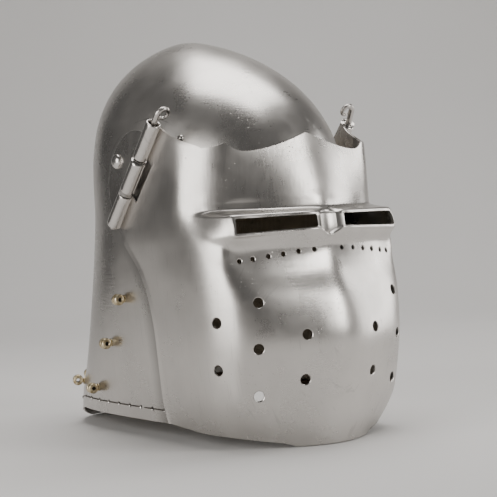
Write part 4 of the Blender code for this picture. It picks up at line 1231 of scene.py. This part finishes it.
def swell(obj, most):
    """Blows the pad up like a stuffed cover, and keeps each point within reach of where it was."""
    before = np.array([v.co for v in obj.data.vertices])
    cloth = obj.modifiers.new("Stuffing", "CLOTH")
    cloth.settings.use_pressure = True
    cloth.settings.uniform_pressure_force = 4.0
    cloth.settings.effector_weights.gravity = 0.0
    cloth.settings.quality = 4
    scene = bpy.context.scene
    for step in range(1, 21):
        scene.frame_set(step)
    apply_modifiers(obj)
    scene.frame_set(1)
    after = np.array([v.co for v in obj.data.vertices])
    moved = after - before
    far = np.linalg.norm(moved, axis=1, keepdims=True)
    after = before + moved * np.minimum(1.0, most / np.maximum(far, 1e-9))
    obj.data.vertices.foreach_set("co", after.ravel())
    obj.data.update()


def sew_channels(obj):
    """Draws the pad in along upright seams that fade out towards the crown."""
    mesh = obj.data
    points = np.array([v.co for v in mesh.vertices]) / MM + (0.0, MID_DEPTH, -SIGHT_HEIGHT)
    normals = np.array([v.normal for v in mesh.vertices])
    size = dome_size(points[:, 2])
    centre = SKULL_CENTRE_Y + APEX_SHIFT * np.clip(points[:, 2] / APEX_Z, 0, 1) ** 2
    angle = np.arctan2(points[:, 0] / SKULL_HALF_WIDTH, (centre - points[:, 1]) / SKULL_HALF_DEPTH)
    radius = np.hypot(points[:, 0], points[:, 1] - centre)
    step = 2 * math.pi / LINING_SEAMS
    off = np.abs((angle + step / 2) % step - step / 2) * radius
    fade = np.clip((radius - 12.0) / 25.0, 0, 1)
    level = np.minimum(np.abs(points[:, 2] - 62.0), np.abs(points[:, 2] + 55.0))
    pull = np.maximum(np.exp(-((off / 2.6) ** 2)) * fade, np.exp(-((level / 2.6) ** 2)) * (size > 0.3))
    points -= normals * (1.7 * pull - 0.25)[:, None]
    mesh.vertices.foreach_set("co", placed(points).ravel())
    mesh.update()


def make_strip(looks):
    angles = rim_walk(2.0, 5.0)
    y = skull_at(angles, -165.0)[:, 1]
    rows_outer, rows_inner = [], []
    for share in np.linspace(1.0, 0.0, 9):
        z = rim_z(y) + 4.3 + (STRIP_TALL - 7.6) * share
        rows_outer.append(skull_in(angles, z, STRIP_DEPTH))
        rows_inner.append(skull_in(angles, z, STRIP_DEPTH + STRIP_THICK))
    mesh = slab("leather_strip", placed(rows_outer), placed(rows_inner))
    face_out(mesh)
    strip = add_object("leather_strip", mesh)
    finish_piece(strip, "helmet", "leather", looks["leather"], "lining_strip")


def make_stitching(looks):
    """Waxed thread that dips into each hole and lies on the steel between them."""
    places = stitch_places()
    points = []
    for (a0, z0), (a1, z1) in zip(places, places[1:]):
        for share, depth in THREAD_STITCH:
            points.append(skull_in(a0 + (a1 - a0) * share, z0 + (z1 - z0) * share, depth))
    points.append(skull_in(*places[-1], 2.0))
    seam = wire("rim_stitching", points, [THREAD_RADIUS] * len(points))
    finish_piece(seam, "helmet", "waxed_thread", looks["thread"], "lining_thread")


# ---- surroundings ---------------------------------------------------------------------------------------
def make_room():
    """Pale seamless floor that sweeps up behind the helmet."""
    look = Look("pale_floor", roughness=0.75)
    look.finish(look.colour(look.noise(3.0, 2.0), (0.72, 0.71, 0.70), (0.78, 0.77, 0.76)))
    back = Vector(CAMERA_RIGHT).cross(Vector(CAMERA_UP))
    away = -Vector((back.x, back.y, 0.0)).normalized()
    across = Vector((away.y, -away.x, 0.0))
    profile = [(-2.2, 0.0), (0.9, 0.0)]
    for step in range(1, 13):
        turn = math.radians(90.0 * step / 12)
        profile.append((0.9 + 0.9 * math.sin(turn), 0.9 * (1 - math.cos(turn))))
    profile.append((1.8, 3.0))
    bm = bmesh.new()
    edges = []
    for w in (-1.3, 1.3):
        edges.append([bm.verts.new(away * d + across * w + Vector((0, 0, h))) for d, h in profile])
    for i in range(len(profile) - 1):
        bm.faces.new((edges[0][i], edges[1][i], edges[1][i + 1], edges[0][i + 1]))
    mesh = bpy.data.meshes.new("sweep")
    bm.to_mesh(mesh)
    bm.free()
    mesh.shade_smooth()
    mesh.materials.append(look.material)
    sweep = add_object("sweep", mesh)


def area_light(name, at, target, size, energy, colour=(1.0, 1.0, 1.0)):
    data = bpy.data.lights.new(name, "AREA")
    data.shape = "RECTANGLE"
    data.size, data.size_y = size
    data.energy = energy
    data.color = colour
    light = bpy.data.objects.new(name, data)
    bpy.context.scene.collection.objects.link(light)
    light.location = at
    light.rotation_euler = (Vector(target) - Vector(at)).to_track_quat("-Z", "Y").to_euler()


def make_lights():
    world = bpy.data.worlds.new("studio")
    world.use_nodes = True
    world.node_tree.nodes["Background"].inputs["Color"].default_value = (0.10, 0.098, 0.096, 1.0)
    bpy.context.scene.world = world
    middle = (0.0, 0.0, 0.17)
    area_light("left_window", (-1.6, -0.2, 0.5), middle, (1.15, 1.2), 19.0, (1.0, 0.98, 0.95))
    area_light("front_window", (0.75, -1.5, 0.7), middle, (0.55, 0.8), 10.5, (1.0, 0.98, 0.95))
    area_light("top_window", (0.25, 0.15, 1.6), middle, (1.1, 1.1), 19.0, (1.0, 0.98, 0.96))
    area_light("right_window", (1.6, -0.45, 0.45), middle, (0.45, 1.1), 8.0, (1.0, 0.98, 0.96))


def make_camera():
    right, up = Vector(CAMERA_RIGHT), Vector(CAMERA_UP)
    back = right.cross(up)
    turn = Matrix((right, up, back)).transposed().to_4x4()
    data = bpy.data.cameras.new("camera")
    data.lens = CAMERA_LENS
    data.sensor_width = 36.0
    camera = bpy.data.objects.new("camera", data)
    bpy.context.scene.collection.objects.link(camera)
    camera.matrix_world = Matrix.Translation(place(*CAMERA_AT)) @ turn
    bpy.context.scene.camera = camera


def main():
    make_camera()
    looks = {
        "steel": steel("polished_sheet_steel"),
        "skull_steel": steel("polished_skull_steel", ring=True),
        "bright_steel": steel("burnished_steel", tint=(0.72, 0.69, 0.66), dull=0.15, marks=0.8),
        "plate_steel": steel("plate_steel", tint=(0.64, 0.615, 0.585), dull=0.2),
        "pin_steel": steel("drawn_wire_steel", tint=(0.62, 0.59, 0.56), dull=0.24),
        "brass": brass("turned_brass"),
        "tarnish": tarnish("tarnished_bore"),
        "linen": linen("quilted_linen"),
        "leather": leather("strip_leather"),
        "thread": thread("waxed_thread"),
    }
    make_skull(looks)
    make_visor(looks)
    make_hinges(looks)
    make_rivets(looks)
    make_vervelles(looks)
    make_lining(looks)
    make_strip(looks)
    make_stitching(looks)
    make_room()
    make_lights()


main()
